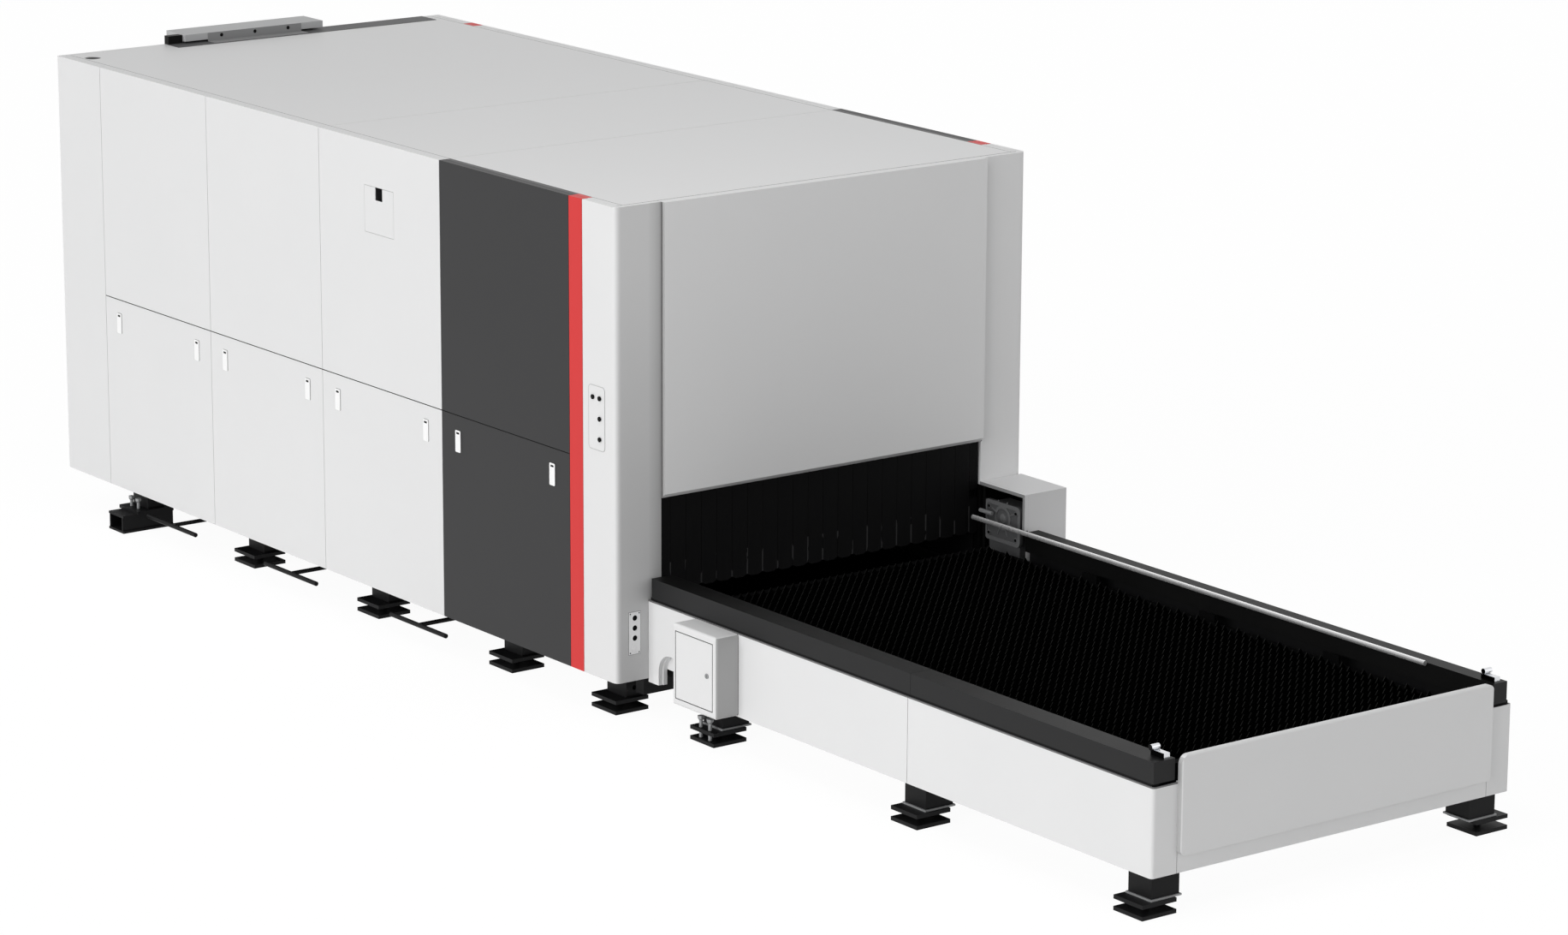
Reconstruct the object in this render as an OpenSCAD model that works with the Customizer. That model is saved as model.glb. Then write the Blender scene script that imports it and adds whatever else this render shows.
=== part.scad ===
// Fully enclosed fiber laser cutting machine with a two-level exchange table.
// Millimetres. X runs along the machine towards the table's end, Y across it, Z up from the floor.
// Pieces are placed from the cabin's front plane, and the whole is then centred over the floor.

/* [Cabin] */
// Width of the cabin across its side panels
cabin_w = 2300; // [2200:10:2600]
// Height of the roof above the floor
roof_z = 2335; // [2250:5:2600]
// Gap from the floor to the lower edge of the cabin
cabin_gap = 191; // [180:1:230]
// Width of one column of side panels
column_w = 1032; // [900:2:1200]
// Length of the near rear corner along the side
rear_post_w = 430; // [400:5:500]
// Length of the far rear corner along the side
far_post_w = 326; // [280:2:330]
// Length of the front corners along the side
front_post_w = 252; // [220:2:300]
// Width of a front corner seen from the front
front_corner_w = 245; // [200:1:250]
// Width of a rear corner seen from behind
rear_corner_w = 250; // [220:5:300]
// Width of the red accent strips
accent_w = 104; // [80:2:120]
// Height of the seam above the access doors
door_seam_z = 1170; // [1140:5:1250]
// Depth of the folded panels
panel_d = 30; // [25:1:36]
// Rounding of the upright front edges
corner_r = 28; // [10:1:29]
// Distance that the front cover stands proud
cover_proud = 25; // [10:1:40]
// Height of the front cover's lower edge
cover_bottom_z = 1025; // [1000:5:1120]
// Width of the curtain's strips
strip_w = 85; // [70:1:120]

/* [Exchange table] */
// Length of a pallet, which sets the length of the table
pallet_l = 3050; // [2500:10:3300]
// Height of the skirts' lower edge above the floor
skirt_bottom_z = 175; // [160:1:185]
// Height of the skirts
skirt_h = 377; // [350:1:400]
// Width of the near rail
rail_w = 110; // [100:1:125]
// Width of the far rail
far_rail_w = 77; // [70:1:100]
// Height of the rails
rail_h = 90; // [80:1:110]
// Height of the end cover
end_cover_h = 421; // [380:1:440]
// Distance that the end cover stands proud
end_cover_proud = 25; // [15:1:40]

/* [Pallets] */
// Number of slats on a pallet
slat_count = 45; // [30:1:46]
// Number of teeth on a slat
tooth_count = 40; // [24:1:44]
// Height of a slat up to its tooth tips
slat_h = 85; // [70:1:100]
// Depth of the teeth
tooth_h = 30; // [20:1:40]
// Thickness of a slat
slat_t = 4; // [3:0.5:6]
// Radius of the pallet wheels
wheel_r = 35; // [30:0.5:40]

/* [Feet and drawers] */
// Length of the floor plates along the machine
pad_l = 190; // [170:2:200]
// Width of the floor plates across the machine
pad_w = 178; // [160:2:180]
// Thickness of the floor plates
pad_t = 17; // [12:1:18]
// Height of the transport tubes
fork_h = 92; // [80:1:100]
// Distance that each transport tube stands out
fork_proud = 98; // [60:1:120]

/* [Gantry] */
// Width of the gantry beam along the machine
beam_w = 300; // [260:2:340]
// Height of the gantry beam
beam_h = 260; // [230:2:300]
// Height of the bed's walls above the cross beams
bed_wall_h = 498; // [470:1:520]
// Distance of the parked gantry from the rear of the cabin
gantry_park = 1264; // [1220:2:1400]

/* [Drive and cabinet] */
// Length of the drive cover
drive_cover_l = 328; // [300:1:330]
// Height of the drive cover's top above the floor
drive_cover_z = 815; // [760:1:850]
// Radius of the chain wheels at the chain's middle
chain_r = 60; // [54:1:62]
// Width of the control cabinet
cabinet_w = 321; // [280:1:340]
// Height of the control cabinet
cabinet_h = 369; // [340:1:372]
// Depth of the control cabinet
cabinet_d = 122; // [90:1:150]

/* [Hidden] */
$fn = 64;

// Clearances and sheet sizes that several pieces share
sheet_t = 3;
seam = 3;
fold_r = 4;
run_gap = 0.3;
weld_gap = 0.3;
overrun = 1;
tube_t = 6;

// Cabin layout
half_w = cabin_w / 2;
inner_w = half_w - panel_d;
column_count = 4;
cabin_l = rear_post_w + column_count * column_w + accent_w + front_post_w;
columns_x = -cabin_l + rear_post_w;
cover_w = cabin_w - 2 * front_corner_w;
function column_x(i) = columns_x + i * column_w;

// Bed: its walls stand a set way inside the cabin, and the pallet tracks stand on their inside
bed_margin = 100;
bed_wall_w = 155;
bed_lift = 4;
cross_h = 67;
cross_w = 120;
bed_front_x = -40;
front_beam_w = 60;
front_beam_z = 103;
front_beam_margin = 75;
track_w = 37;
track_t = 10;
bed_out = half_w - bed_margin;
bed_in = bed_out - bed_wall_w;
bed_z = cabin_gap + bed_lift;
cross_z = bed_z + cross_h;
wall_z = cross_z + bed_wall_h;
track_in = bed_in - track_w;
lower_track_z = cross_z + track_t;

// Floor plates and foot posts
stud_r = 15;
stud_h = 31;
foot_plate_z = pad_t + stud_h;
foot_top_z = foot_plate_z + pad_t;
foot_front_x = -228;
rear_foot_count = 3;
foot_pitch_share = 1.1;
foot_pitch = column_w * foot_pitch_share;
pad_y = (bed_in + bed_out) / 2;
post_l = 148;
post_w = 90;
post_in = 5;
post_y = bed_in + post_in + post_w / 2;
post_hole_r = 11;
post_hole_z = 40;

// Transport tubes
fork_from_rear = 646;
fork_x = -cabin_l + fork_from_rear;
fork_half = half_w + fork_proud;
fork_w = 146;
fork_flange_t = 12;
fork_tube_w = 130;
fork_t = 8;
fork_foot_out = 112;
fork_l = 293;
bed_rear_x = fork_x - cross_w / 2;

// Pallets: the lower one runs on the cross beams' tracks, the upper one clears its tooth tips
axle_up = 25;
axle_r = 12;
stringer_h = 40;
stringer_w = 40;
stringer_share = 0.654;
bar_h = 95;
bar_t = 20;
end_bar_w = 40;
level_gap = 8;
pallet_x = 110;
pallet_side_gap = 2;
slat_end_gap = 2;
pallet_half = track_in - pallet_side_gap;
pallet_h = stringer_h + slat_h;
level_b = lower_track_z + run_gap + wheel_r - axle_up;
upper_track_under_z = level_b + pallet_h + level_gap;
upper_track_z = upper_track_under_z + track_t;
level_a = upper_track_z + run_gap + wheel_r - axle_up;
tip_z = level_a + pallet_h;
slat_half = pallet_half - bar_t - slat_end_gap;
stringer_y = pallet_half * stringer_share;
axle_inset = 100;
axle_end_gap = 5;
axle_end_y = bed_in - axle_end_gap;
wheel_gap = 4;
wheel_in = track_in + wheel_gap;
wheel_t = 24;
axle_play = 0.3;
lift_lug_l = 100;
lift_lug_t = 10;
lift_lug_shares = [0.246, 0.507, 0.768];
lift_lug_over = 6;
lug_reach = 125;
lug_arm_h = 30;
lug_arm_t = 10;
lug_back = 40;
lug_block_l = 24;

// Exchange table layout: the tail behind the pallet holds the idler and the end cover
table_tail = 247;
table_l = pallet_x + pallet_l + table_tail;
rail_gap = 10;
rail_in = track_in + rail_gap;
skirt_half = rail_in + rail_w;
skirt_top_z = skirt_bottom_z + skirt_h;
rail_lift = 13;
rail_z = skirt_top_z + rail_lift;
rail_top_z = rail_z + rail_h;
rail_start_x = 27;
far_rail_start_x = 380;
rail_cut = 1.5;

// Chain drive on the far side
chain_t = 12;
chain_w = 20;
chain_gap = 5;
chain_y = bed_in + chain_gap;
chain_x0 = 110;
chain_tail = 110;
chain_x1 = table_l - chain_tail;
chain_spare = 17;
chain_rise = 5;
chain_z = upper_track_z + chain_rise;
chain_upper_z = chain_z + chain_r;
chain_lower_z = chain_z - chain_r;
sprocket_r = chain_r - chain_t / 2 - 2 * run_gap;
sprocket_shaft_r = 15;
shaft_play = 0.05;
sprocket_gap_count = 16;
sprocket_gap_r = 5;
pallet_travel = chain_x1 - chain_x0 - chain_spare;

// Exchange table frame
skirt_start_x = 2;
skirt_end_return = 130;
skirt_corner_r = 16;
skirt_lip = 18;
skirt_gap = 8;
side_beam_w = 40;
side_beam_h = 85;
base_beam_gap = 3;
coupling_w = 45;
beam_out = skirt_half - skirt_gap;
beam_in = beam_out - side_beam_w;
side_beam_z = rail_z - side_beam_h;
base_beam_in = track_in - base_beam_gap;
coupling_out = base_beam_in + coupling_w;
table_start_x = 10;
table_foot_x = 436;
table_mid_x = (table_foot_x + chain_x1) / 2;
table_feet_x = [table_foot_x, table_mid_x, chain_x1];
table_posts_x = [(table_foot_x + table_mid_x) / 2, (table_mid_x + chain_x1) / 2];
table_brackets_x = concat([table_foot_x, table_mid_x], table_posts_x);
skirt_seam_less = 11;
skirt_seam_x = table_mid_x - skirt_seam_less;
rail_seam_more = 5;
rail_seam_x = table_mid_x + rail_seam_more;
side_post_w = 80;
bracket_w = 30;
bracket_h = 20;
end_plate_t = 18;
table_post_l = 140;
table_post_w = 145;
table_post_y = rail_in;
flange_l = 154;
flange_w = 158;
flange_t = 6;
table_pad_out = 44;
table_pad_y = table_post_y + table_pad_out;
table_pad_l = 176;
arch_x = 166;
arch_r = 88;
arch_rim = 40;
arch_step = 6;
arch_plate_z = 245;
arch_top_z = 327;
end_cover_gap = 17;
end_cover_w = 2 * (rail_in - end_cover_gap);
end_cover_r = 38;
end_cover_edge_r = 10;
end_cover_rise = 11;
end_cover_top_z = rail_top_z + end_cover_rise;

// Bright fittings on the rails
guide_r = 11;
guide_drop = 1;
guide_y = rail_in - guide_r - run_gap;
guide_z = rail_top_z - guide_drop;
guide_x0 = 12;
guide_end = 394;
guide_x1 = table_l - guide_end;
stop_end = 13;
stop_l = 80;
stop_w = 30;
stop_h = 22;
stop_in = 17;
stop_roller_r = 12;
stop_roller_in = 12;
stop_roller_out = 12;
stop_roller_sink = 1;

// Drive cover and gearmotor
cover_gap = 24;
cover_y = chain_y + cover_gap;
cover_lip = 16;
motor_x = 138;
gear_gap = 45;
gear_y = chain_y + gear_gap;
gear_l = 258;
gear_w = 120;
gear_headroom = 80;
gear_top_z = drive_cover_z - gear_headroom;
gear_round_r = 26;
gear_boss_r = 58;
gear_boss_drop = 72;
gear_boss_t = 4;
gear_flange_t = 12;
gear_flange_rim = 18;
gear_rim_t = 5;
gear_face_h = 190;
gear_boss_ring = 14;
gear_lug_r = 11;
gear_lug_t = 4;
gear_lug_inset = 32;
motor_r = 62;
motor_drop = 130;

// Control cabinet
cabinet_x = 352;
cabinet_up = 4;
cabinet_z = skirt_bottom_z + cabinet_up;
cabinet_r = 14;
cabinet_t = 4;
cabinet_margin_x = 25;
cabinet_margin_z = 33;
cabinet_seam = 1.5;
cabinet_pin_r = 1.2;
cabinet_pin_in = 3;
cabinet_pin_l = 6;
pin_play = 0.1;
lock_r = 11.5;
lock_barrel_r = 6;
lock_in = 37;
lock_share = 0.504;
lock_z = cabinet_z + cabinet_h * lock_share;
lock_t = 4;
lock_play = 0.3;
lock_cam_l = 26;
lock_cam_w = 12;

// Cabin frame
frame_t = 50;
frame_in = inner_w - frame_t;
sill_lift = 5;
sill_z = bed_z + sill_lift;
top_rail_z = roof_z - panel_d - frame_t;
mid_rail_z = door_seam_z - frame_t / 2;
cover_drip = 20;
strip_t = 4;
strip_x = -12;
header_w = 46;
header_x = -panel_d - strip_t;
strip_gap = 1.5;
strip_clearance = 10;
strip_side_gap = 6;
strip_least = 20;
strip_span = cover_w - 2 * strip_side_gap;
strip_bottom_z = tip_z + strip_clearance;
strip_top_z = cover_bottom_z + frame_t;

// Gantry, carriage and head
guide_w = 30;
guide_h = 25;
guide_off = 75;
rack_off = 120;
rack_w = 25;
guide_end_gap = 30;
guide_mid_y = bed_in + guide_off;
rack_y = bed_in + rack_off;
rail_play = 1;
gantry_x = -cabin_l + gantry_park;
truck_l = 440;
truck_w = 60;
truck_skirt = 20;
truck_h = 70;
truck_top_z = wall_z + truck_h;
beam_margin = 5;
beam_half = bed_out - beam_margin;
beam_wall = 12;
beam_rail_d = 15;
beam_rail_h = 20;
beam_rail_inset = 40;
beam_rail_margin = 50;
beam_rail_half = bed_out - beam_rail_margin;
gantry_motor_r = 45;
gantry_motor_l = 170;
gantry_motor_out = 40;
carriage_w = 280;
carriage_t = 53;
carriage_margin = 20;
carriage_back_gap = 2;
head_back_w = 120;
head_back_t = 20;
head_back_h = 310;
head_lift = 20;
head_back_z = wall_z + head_lift;
head_x = 70;
head_body_r = 45;
head_body_z = 30;
head_body_h = 210;
head_top_r = 35;
head_top_h = 80;
head_cone_h = 70;
head_neck_r = 25;
nozzle_base_r = 14;
nozzle_tip_r = 4;
nozzle_h = 35;
head_gap = 0.5;

// Slag drawers: the first stands off the transport tube, and each has a foot in front of it
drawer_bottom_z = 82;
drawer_top_gap = 6;
drawer_h = cabin_gap - drawer_top_gap - drawer_bottom_z;
drawer_less = 635;
drawer_w = foot_pitch - drawer_less;
drawer_end_gap = 20;
drawer_half = bed_in - drawer_end_gap;
drawer_tube_gap = 45;
drawer_foot_gap = 229;
drawer_first_x = fork_x + fork_w / 2 + drawer_tube_gap + drawer_w / 2;
drawers_x = [for (i = [0 : rear_foot_count - 1]) drawer_first_x + i * foot_pitch];
foot_ahead = drawer_w / 2 + drawer_foot_gap + pad_l / 2;
feet_x = concat([foot_front_x], [for (x = drawers_x) x + foot_ahead]);
drawer_t = 4;
drawer_play = 2;
runner_t = 6;
runner_lip = 24;
runner_h = 90;
runner_over = 12;
runner_half = track_in + runner_over;
hanger_w = 60;
handle_less = 30;
handle_l = drawer_w - handle_less;
handle_r = 11;
handle_rise = 8;
handle_in = 12;
handle_y = half_w - handle_in;
handle_arm_w = 30;
handle_arm_h = 12;

// Latches, hatch and buttons
latch_w = 42;
latch_h = 102;
latch_inset = 135;
latch_drop = 69;
latch_proud = 3;
latch_r = 5;
latch_hole_w = 22;
latch_hole_h = 12;
latch_hole_drop = 10;
hatch_in = 519;
hatch_x = column_x(2) + hatch_in;
hatch_w = 250;
hatch_h = 222;
hatch_drop = 321.5;
hatch_mid_z = roof_z - hatch_drop;
hatch_notch = 60;
hatch_gap = 1.5;
hatch_pin_r = 1;
hatch_pin_l = 6;
plate_w = 119;
plate_h = 285;
plate_in = 143.5;
plate_x = -plate_in;
plate_mid_z = 1375;
plate_t = 2;
plate_r = 16;
button_r = 11;
button_stem_r = 8;
button_cap_t = 3;
button_travel = 3;
button_stem_l = 24;
button_back_r = 12;
button_back_t = 4;
button_drift = 0.5;
button_row_shares = [-0.214, 0.223];
button_rise_shares = [0.323, 0, -0.326];

// Rear door and its track
door_w = 828;
door_mid_y = -26;
door_t = 30;
door_gap = 30;
door_lift = 24;
hanger_d = 190;
hanger_h = 34;
hanger_z = 13;
hanger_front = 64;
bracket_len = 560;
bracket_leg = 75;
bracket_t = 4;
track_strip_w = 142;
track_inset = 105;
track_before = 85;
track_plate_t = 2;
stop_block_w = 80;
stop_block_d = 40;
stop_block_h = 43;
opening_w = 570;
opening_rise = 44;
opening_drop = 305;
opening_bottom_z = cabin_gap + opening_rise;
opening_top_z = roof_z - opening_drop;
duct_r = 40;
duct_in_x = 165;
duct_in_y = 112;

// The whole machine is centred over the floor
rear_x = -cabin_l + hanger_front - hanger_d;
front_x = table_l + end_cover_proud;
frame_x = -(rear_x + front_x) / 2;

module placed() {
    translate([frame_x, 0, 0]) children();
}

module block(low, high) {
    translate(low) cube(high - low);
}

module both_sides() {
    children();
    mirror([0, 1, 0]) children();
}

// Round bar along Y, from y0 to y1
module bar_y(x, z, r, y0, y1) {
    translate([x, y0, z]) rotate([-90, 0, 0]) cylinder(r = r, h = y1 - y0);
}

// Round bar along X, from x0 to x1
module bar_x(y, z, r, x0, x1) {
    translate([x0, y, z]) rotate([0, 90, 0]) cylinder(r = r, h = x1 - x0);
}

// Rectangle with four round corners, drawn from its centre
module round_plate(w, h, r) {
    square([w - 2 * r, h], center = true);
    square([w, h - 2 * r], center = true);
    for (sx = [-1, 1], sy = [-1, 1]) translate([sx * (w / 2 - r), sy * (h / 2 - r)]) circle(r);
}

// Side view of a plate with soft edges, standing on its back
module soft_side(w, d, e) {
    translate([-w / 2, 0]) square([w, d - e]);
    translate([-w / 2 + e, 0]) square([w - 2 * e, d]);
    for (side = [-1, 1]) translate([side * (w / 2 - e), d - e]) circle(e);
}

// Plate with round corners r and soft edges e round its front, which faces +Z
module soft_plate(w, h, d, r, e) {
    intersection() {
        linear_extrude(d) round_plate(w, h, r);
        translate([0, h / 2, 0]) rotate([90, 0, 0]) linear_extrude(h) soft_side(w, d, e);
        translate([-w / 2, 0, 0]) rotate([90, 0, 90]) linear_extrude(w) soft_side(h, d, e);
    }
}

// Plate that faces -Y, drawn from its middle, with its outer face at y
module face_plate(x, y, z, w, h, r, t) {
    translate([x, y + t, z]) rotate([90, 0, 0]) linear_extrude(t) round_plate(w, h, r);
}

// Folded side panel: a shallow tray that is open towards the inside
module side_pan(x0, x1, z0, z1) {
    difference() {
        block([x0, -half_w, z0], [x1, -inner_w, z1]);
        block([x0 + sheet_t, -half_w + sheet_t, z0 + sheet_t],
            [x1 - sheet_t, -inner_w + overrun, z1 - sheet_t]);
    }
}

module column_pan(i, z0, z1) {
    side_pan(column_x(i) + seam / 2, column_x(i + 1) - seam / 2, z0, z1);
}

// Area of an L-shaped corner: outer corner at the origin, one leg along -X, one along +Y
module corner_area(leg_x, leg_y, round_r, inset, spill) {
    r = round_r - inset;
    difference() {
        union() {
            translate([-leg_x + inset, inset]) square([leg_x - 2 * inset, panel_d - inset + spill]);
            translate([-panel_d - spill, inset]) square([panel_d + spill - inset, leg_y - 2 * inset]);
        }
        difference() {
            translate([-inset - r, inset]) square(r);
            translate([-inset - r, inset + r]) circle(r);
        }
    }
}

// Folded corner of the cabin with closed ends
module corner_post(leg_x, leg_y, round_r) {
    h = roof_z - cabin_gap;
    translate([0, 0, cabin_gap]) difference() {
        linear_extrude(h) corner_area(leg_x, leg_y, round_r, 0, 0);
        translate([0, 0, sheet_t]) linear_extrude(h - 2 * sheet_t)
            corner_area(leg_x, leg_y, round_r, sheet_t, overrun);
    }
}

module front_corner() {
    translate([0, -half_w, 0]) corner_post(front_post_w - seam / 2, front_corner_w - seam / 2, corner_r);
}

module rear_corner(leg_x) {
    translate([-cabin_l, -half_w, 0]) mirror([1, 0, 0])
        corner_post(leg_x, rear_corner_w - seam / 2, fold_r);
}

// Bed

module bed_foot(x, base_z, out) {
    top_z = base_z + pad_t;
    translate([x, out, 0]) {
        block([-pad_l / 2, pad_y - pad_w / 2, base_z], [pad_l / 2, pad_y + pad_w / 2, top_z]);
        difference() {
            block([-post_l / 2, post_y - post_w / 2, top_z + weld_gap],
                [post_l / 2, post_y + post_w / 2, bed_z - weld_gap]);
            bar_x(post_y, top_z + post_hole_z, post_hole_r, -post_l, post_l);
        }
    }
}

module cross_beam(x) {
    block([x - cross_w / 2, -frame_in, bed_z], [x + cross_w / 2, frame_in, cross_z]);
}

module bed_wall() {
    low_z = cross_z + weld_gap;
    difference() {
        block([bed_rear_x, bed_in, low_z], [bed_front_x, bed_out, wall_z]);
        block([bed_rear_x - overrun, bed_in + tube_t, low_z + tube_t],
            [bed_front_x + overrun, bed_out - tube_t, wall_z - tube_t]);
    }
}

// One leg of a drawer runner with its hangers, on the side of the drawer that faces +X
module drawer_runner(x) {
    inner = x + drawer_w / 2 + drawer_play;
    foot = drawer_bottom_z - runner_t;
    top = foot + runner_h;
    block([inner, -runner_half, foot], [inner + runner_t, runner_half, top]);
    block([inner - runner_lip, -runner_half, foot], [inner - weld_gap, runner_half, drawer_bottom_z]);
    both_sides() block([inner, runner_half - hanger_w, top + weld_gap],
        [inner + runner_t, runner_half, cross_z]);
}

module bed_frame() {
    track_out = bed_in - weld_gap;
    front_x0 = bed_front_x - front_beam_w;
    front_y = bed_out - front_beam_margin;
    placed() color("#1b1b1d") {
        for (x = feet_x) {
            cross_beam(x);
            both_sides() bed_foot(x, foot_plate_z, 0);
        }
        cross_beam(fork_x);
        block([front_x0, -front_y, front_beam_z], [bed_front_x, front_y, bed_z - weld_gap]);
        both_sides() {
            block([front_x0, coupling_out + weld_gap, bed_z], [bed_front_x, front_y, cross_z]);
            bed_foot(fork_x, fork_h, fork_foot_out);
            bed_wall();
            block([bed_rear_x, track_in, cross_z + weld_gap], [bed_front_x, track_out, lower_track_z]);
            block([bed_rear_x, track_in, upper_track_under_z], [bed_front_x, track_out, upper_track_z]);
        }
        for (x = drawers_x) {
            drawer_runner(x);
            translate([2 * x, 0, 0]) mirror([1, 0, 0]) drawer_runner(x);
        }
    }
}

module fork_tube() {
    inner = fork_half - fork_l;
    placed() color("#1b1b1d") translate([fork_x, 0, 0]) both_sides() {
        difference() {
            block([-fork_tube_w / 2, inner, fork_flange_t],
                [fork_tube_w / 2, fork_half, fork_h - fork_flange_t]);
            block([-fork_tube_w / 2 + fork_t, inner - overrun, fork_flange_t],
                [fork_tube_w / 2 - fork_t, fork_half + overrun, fork_h - fork_flange_t]);
        }
        for (z = [0, fork_h - fork_flange_t])
            block([-fork_w / 2, inner, z], [fork_w / 2, fork_half, z + fork_flange_t]);
    }
}

module levelling_pad(x, y, l) {
    block([x - l / 2, y - pad_w / 2, 0], [x + l / 2, y + pad_w / 2, pad_t]);
    translate([x, y, pad_t]) cylinder(r = stud_r, h = stud_h);
}

module levelling_pads() {
    placed() color("#141415") both_sides() {
        for (x = feet_x) levelling_pad(x, pad_y, pad_l);
        for (x = table_feet_x) levelling_pad(x, table_pad_y, table_pad_l);
    }
}

// Cabin frame

module frame_post(x) {
    for (span = [[sill_z + frame_t, mid_rail_z], [mid_rail_z + frame_t, top_rail_z]])
        block([x - frame_t / 2, -inner_w, span[0] + weld_gap],
            [x + frame_t / 2, -frame_in, span[1] - weld_gap]);
}

module frame_rail(z) {
    block([-cabin_l + panel_d, -inner_w, z], [-panel_d, -frame_in, z + frame_t]);
}

module frame_cross(x, z, w) {
    half = frame_in - weld_gap;
    block([x, -half, z], [x + w, half, z + frame_t]);
}

module enclosure_frame() {
    rear_end = -cabin_l + panel_d;
    front_end = -panel_d;
    placed() color("#8c8f94") {
        both_sides() {
            for (i = [0 : column_count]) frame_post(column_x(i));
            for (x = [rear_end + frame_t / 2, front_end - frame_t / 2]) frame_post(x);
            for (z = [sill_z, mid_rail_z, top_rail_z]) frame_rail(z);
        }
        for (x = [rear_end, column_x(2) - frame_t / 2, column_x(3) - frame_t / 2, front_end - frame_t])
            frame_cross(x, top_rail_z, frame_t);
        frame_cross(rear_end, sill_z, frame_t);
        frame_cross(header_x - header_w, cover_bottom_z, header_w);
        block([header_x + weld_gap, -strip_span / 2, cover_bottom_z],
            [strip_x, strip_span / 2, strip_top_z]);
    }
}

// Gantry and cutting head

module x_guides() {
    placed() color("#9a9da1") both_sides() {
        block([bed_rear_x, guide_mid_y - guide_w / 2, wall_z],
            [bed_front_x - guide_end_gap, guide_mid_y + guide_w / 2, wall_z + guide_h]);
        block([bed_rear_x, rack_y - rack_w / 2, wall_z],
            [bed_front_x - guide_end_gap, rack_y + rack_w / 2, wall_z + guide_h]);
    }
}

module gantry_truck() {
    low_z = wall_z + guide_h - truck_skirt;
    difference() {
        block([-truck_l / 2, guide_mid_y - truck_w / 2, low_z],
            [truck_l / 2, guide_mid_y + truck_w / 2, truck_top_z]);
        block([-truck_l, guide_mid_y - guide_w / 2 - rail_play, low_z - overrun],
            [truck_l, guide_mid_y + guide_w / 2 + rail_play, wall_z + guide_h + run_gap]);
    }
}

module gantry_beam() {
    top_z = truck_top_z + beam_h;
    placed() color("#c9ccd0") translate([gantry_x, 0, 0]) {
        both_sides() gantry_truck();
        difference() {
            block([-beam_w / 2, -beam_half, truck_top_z], [beam_w / 2, beam_half, top_z]);
            block([-beam_w / 2 + beam_wall, -beam_half - overrun, truck_top_z + beam_wall],
                [beam_w / 2 - beam_wall, beam_half + overrun, top_z - beam_wall]);
        }
        for (z = [truck_top_z + beam_rail_inset, top_z - beam_rail_inset - beam_rail_h])
            block([beam_w / 2, -beam_rail_half, z],
                [beam_w / 2 + beam_rail_d, beam_rail_half, z + beam_rail_h]);
        both_sides() translate([-beam_w / 2 - gantry_motor_out, guide_mid_y, truck_top_z])
            cylinder(r = gantry_motor_r, h = gantry_motor_l);
    }
}

module y_carriage() {
    top_z = truck_top_z + beam_h;
    back_x = beam_w / 2 + carriage_back_gap;
    placed() color("#b4b7bb") translate([gantry_x, 0, 0]) difference() {
        block([back_x, -carriage_w / 2, truck_top_z + carriage_margin],
            [back_x + carriage_t, carriage_w / 2, top_z - carriage_margin]);
        for (z = [truck_top_z + beam_rail_inset, top_z - beam_rail_inset - beam_rail_h])
            block([back_x - overrun, -carriage_w, z - run_gap],
                [beam_w / 2 + beam_rail_d + run_gap, carriage_w, z + beam_rail_h + run_gap]);
    }
}

module cutting_head() {
    back_x = beam_w / 2 + carriage_back_gap + carriage_t + head_gap;
    body_z = head_back_z + head_body_z;
    cone_z = body_z - head_cone_h;
    placed() color("#2c2d30") translate([gantry_x, 0, 0]) {
        block([back_x, -head_back_w / 2, head_back_z],
            [back_x + head_back_t, head_back_w / 2, head_back_z + head_back_h]);
        block([back_x + head_back_t, -head_body_r, body_z],
            [back_x + head_x, head_body_r, body_z + head_body_h]);
        translate([back_x + head_x, 0, 0]) rotate_extrude() polygon([
            [0, cone_z - nozzle_h], [nozzle_tip_r, cone_z - nozzle_h], [nozzle_base_r, cone_z],
            [head_neck_r, cone_z], [head_body_r, body_z], [head_body_r, body_z + head_body_h],
            [head_top_r, body_z + head_body_h],
            [head_top_r, body_z + head_body_h + head_top_h], [0, body_z + head_body_h + head_top_h]]);
    }
}

// Exchange table

module table_foot(x) {
    block([x - table_pad_l / 2, table_pad_y - pad_w / 2, foot_plate_z],
        [x + table_pad_l / 2, table_pad_y + pad_w / 2, foot_top_z]);
    block([x - flange_l / 2, table_post_y - flange_w / 2, foot_top_z],
        [x + flange_l / 2, table_post_y + flange_w / 2, foot_top_z + flange_t]);
    block([x - table_post_l / 2, table_post_y - table_post_w / 2, foot_top_z + flange_t],
        [x + table_post_l / 2, table_post_y + table_post_w / 2, bed_z - weld_gap]);
}

// Side of the table frame; its coupling arm reaches back to the bed's first cross beam
module table_side(lower_x, upper_x) {
    end_x = table_l - skirt_lip;
    post_top = side_beam_z - weld_gap;
    low_z = cross_z + weld_gap;
    block([foot_front_x + cross_w / 2, base_beam_in, bed_z], [lower_x - weld_gap, coupling_out, cross_z]);
    block([lower_x, base_beam_in, bed_z], [end_x, beam_out, cross_z]);
    block([upper_x, beam_in, side_beam_z], [end_x, beam_out, rail_z]);
    for (x = concat(table_feet_x, table_posts_x))
        block([x - side_post_w / 2, beam_in, low_z], [x + side_post_w / 2, beam_out, post_top]);
    for (x = table_brackets_x)
        block([x - bracket_w / 2, bed_in + weld_gap, upper_track_z - bracket_h],
            [x + bracket_w / 2, beam_in - weld_gap, upper_track_z]);
    block([end_x - end_plate_t, bed_in + weld_gap, low_z], [end_x, beam_out, post_top]);
    block([bed_front_x, track_in, low_z], [end_x, bed_in, lower_track_z]);
    block([bed_front_x, track_in, upper_track_under_z], [end_x, bed_in, upper_track_z]);
}

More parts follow.
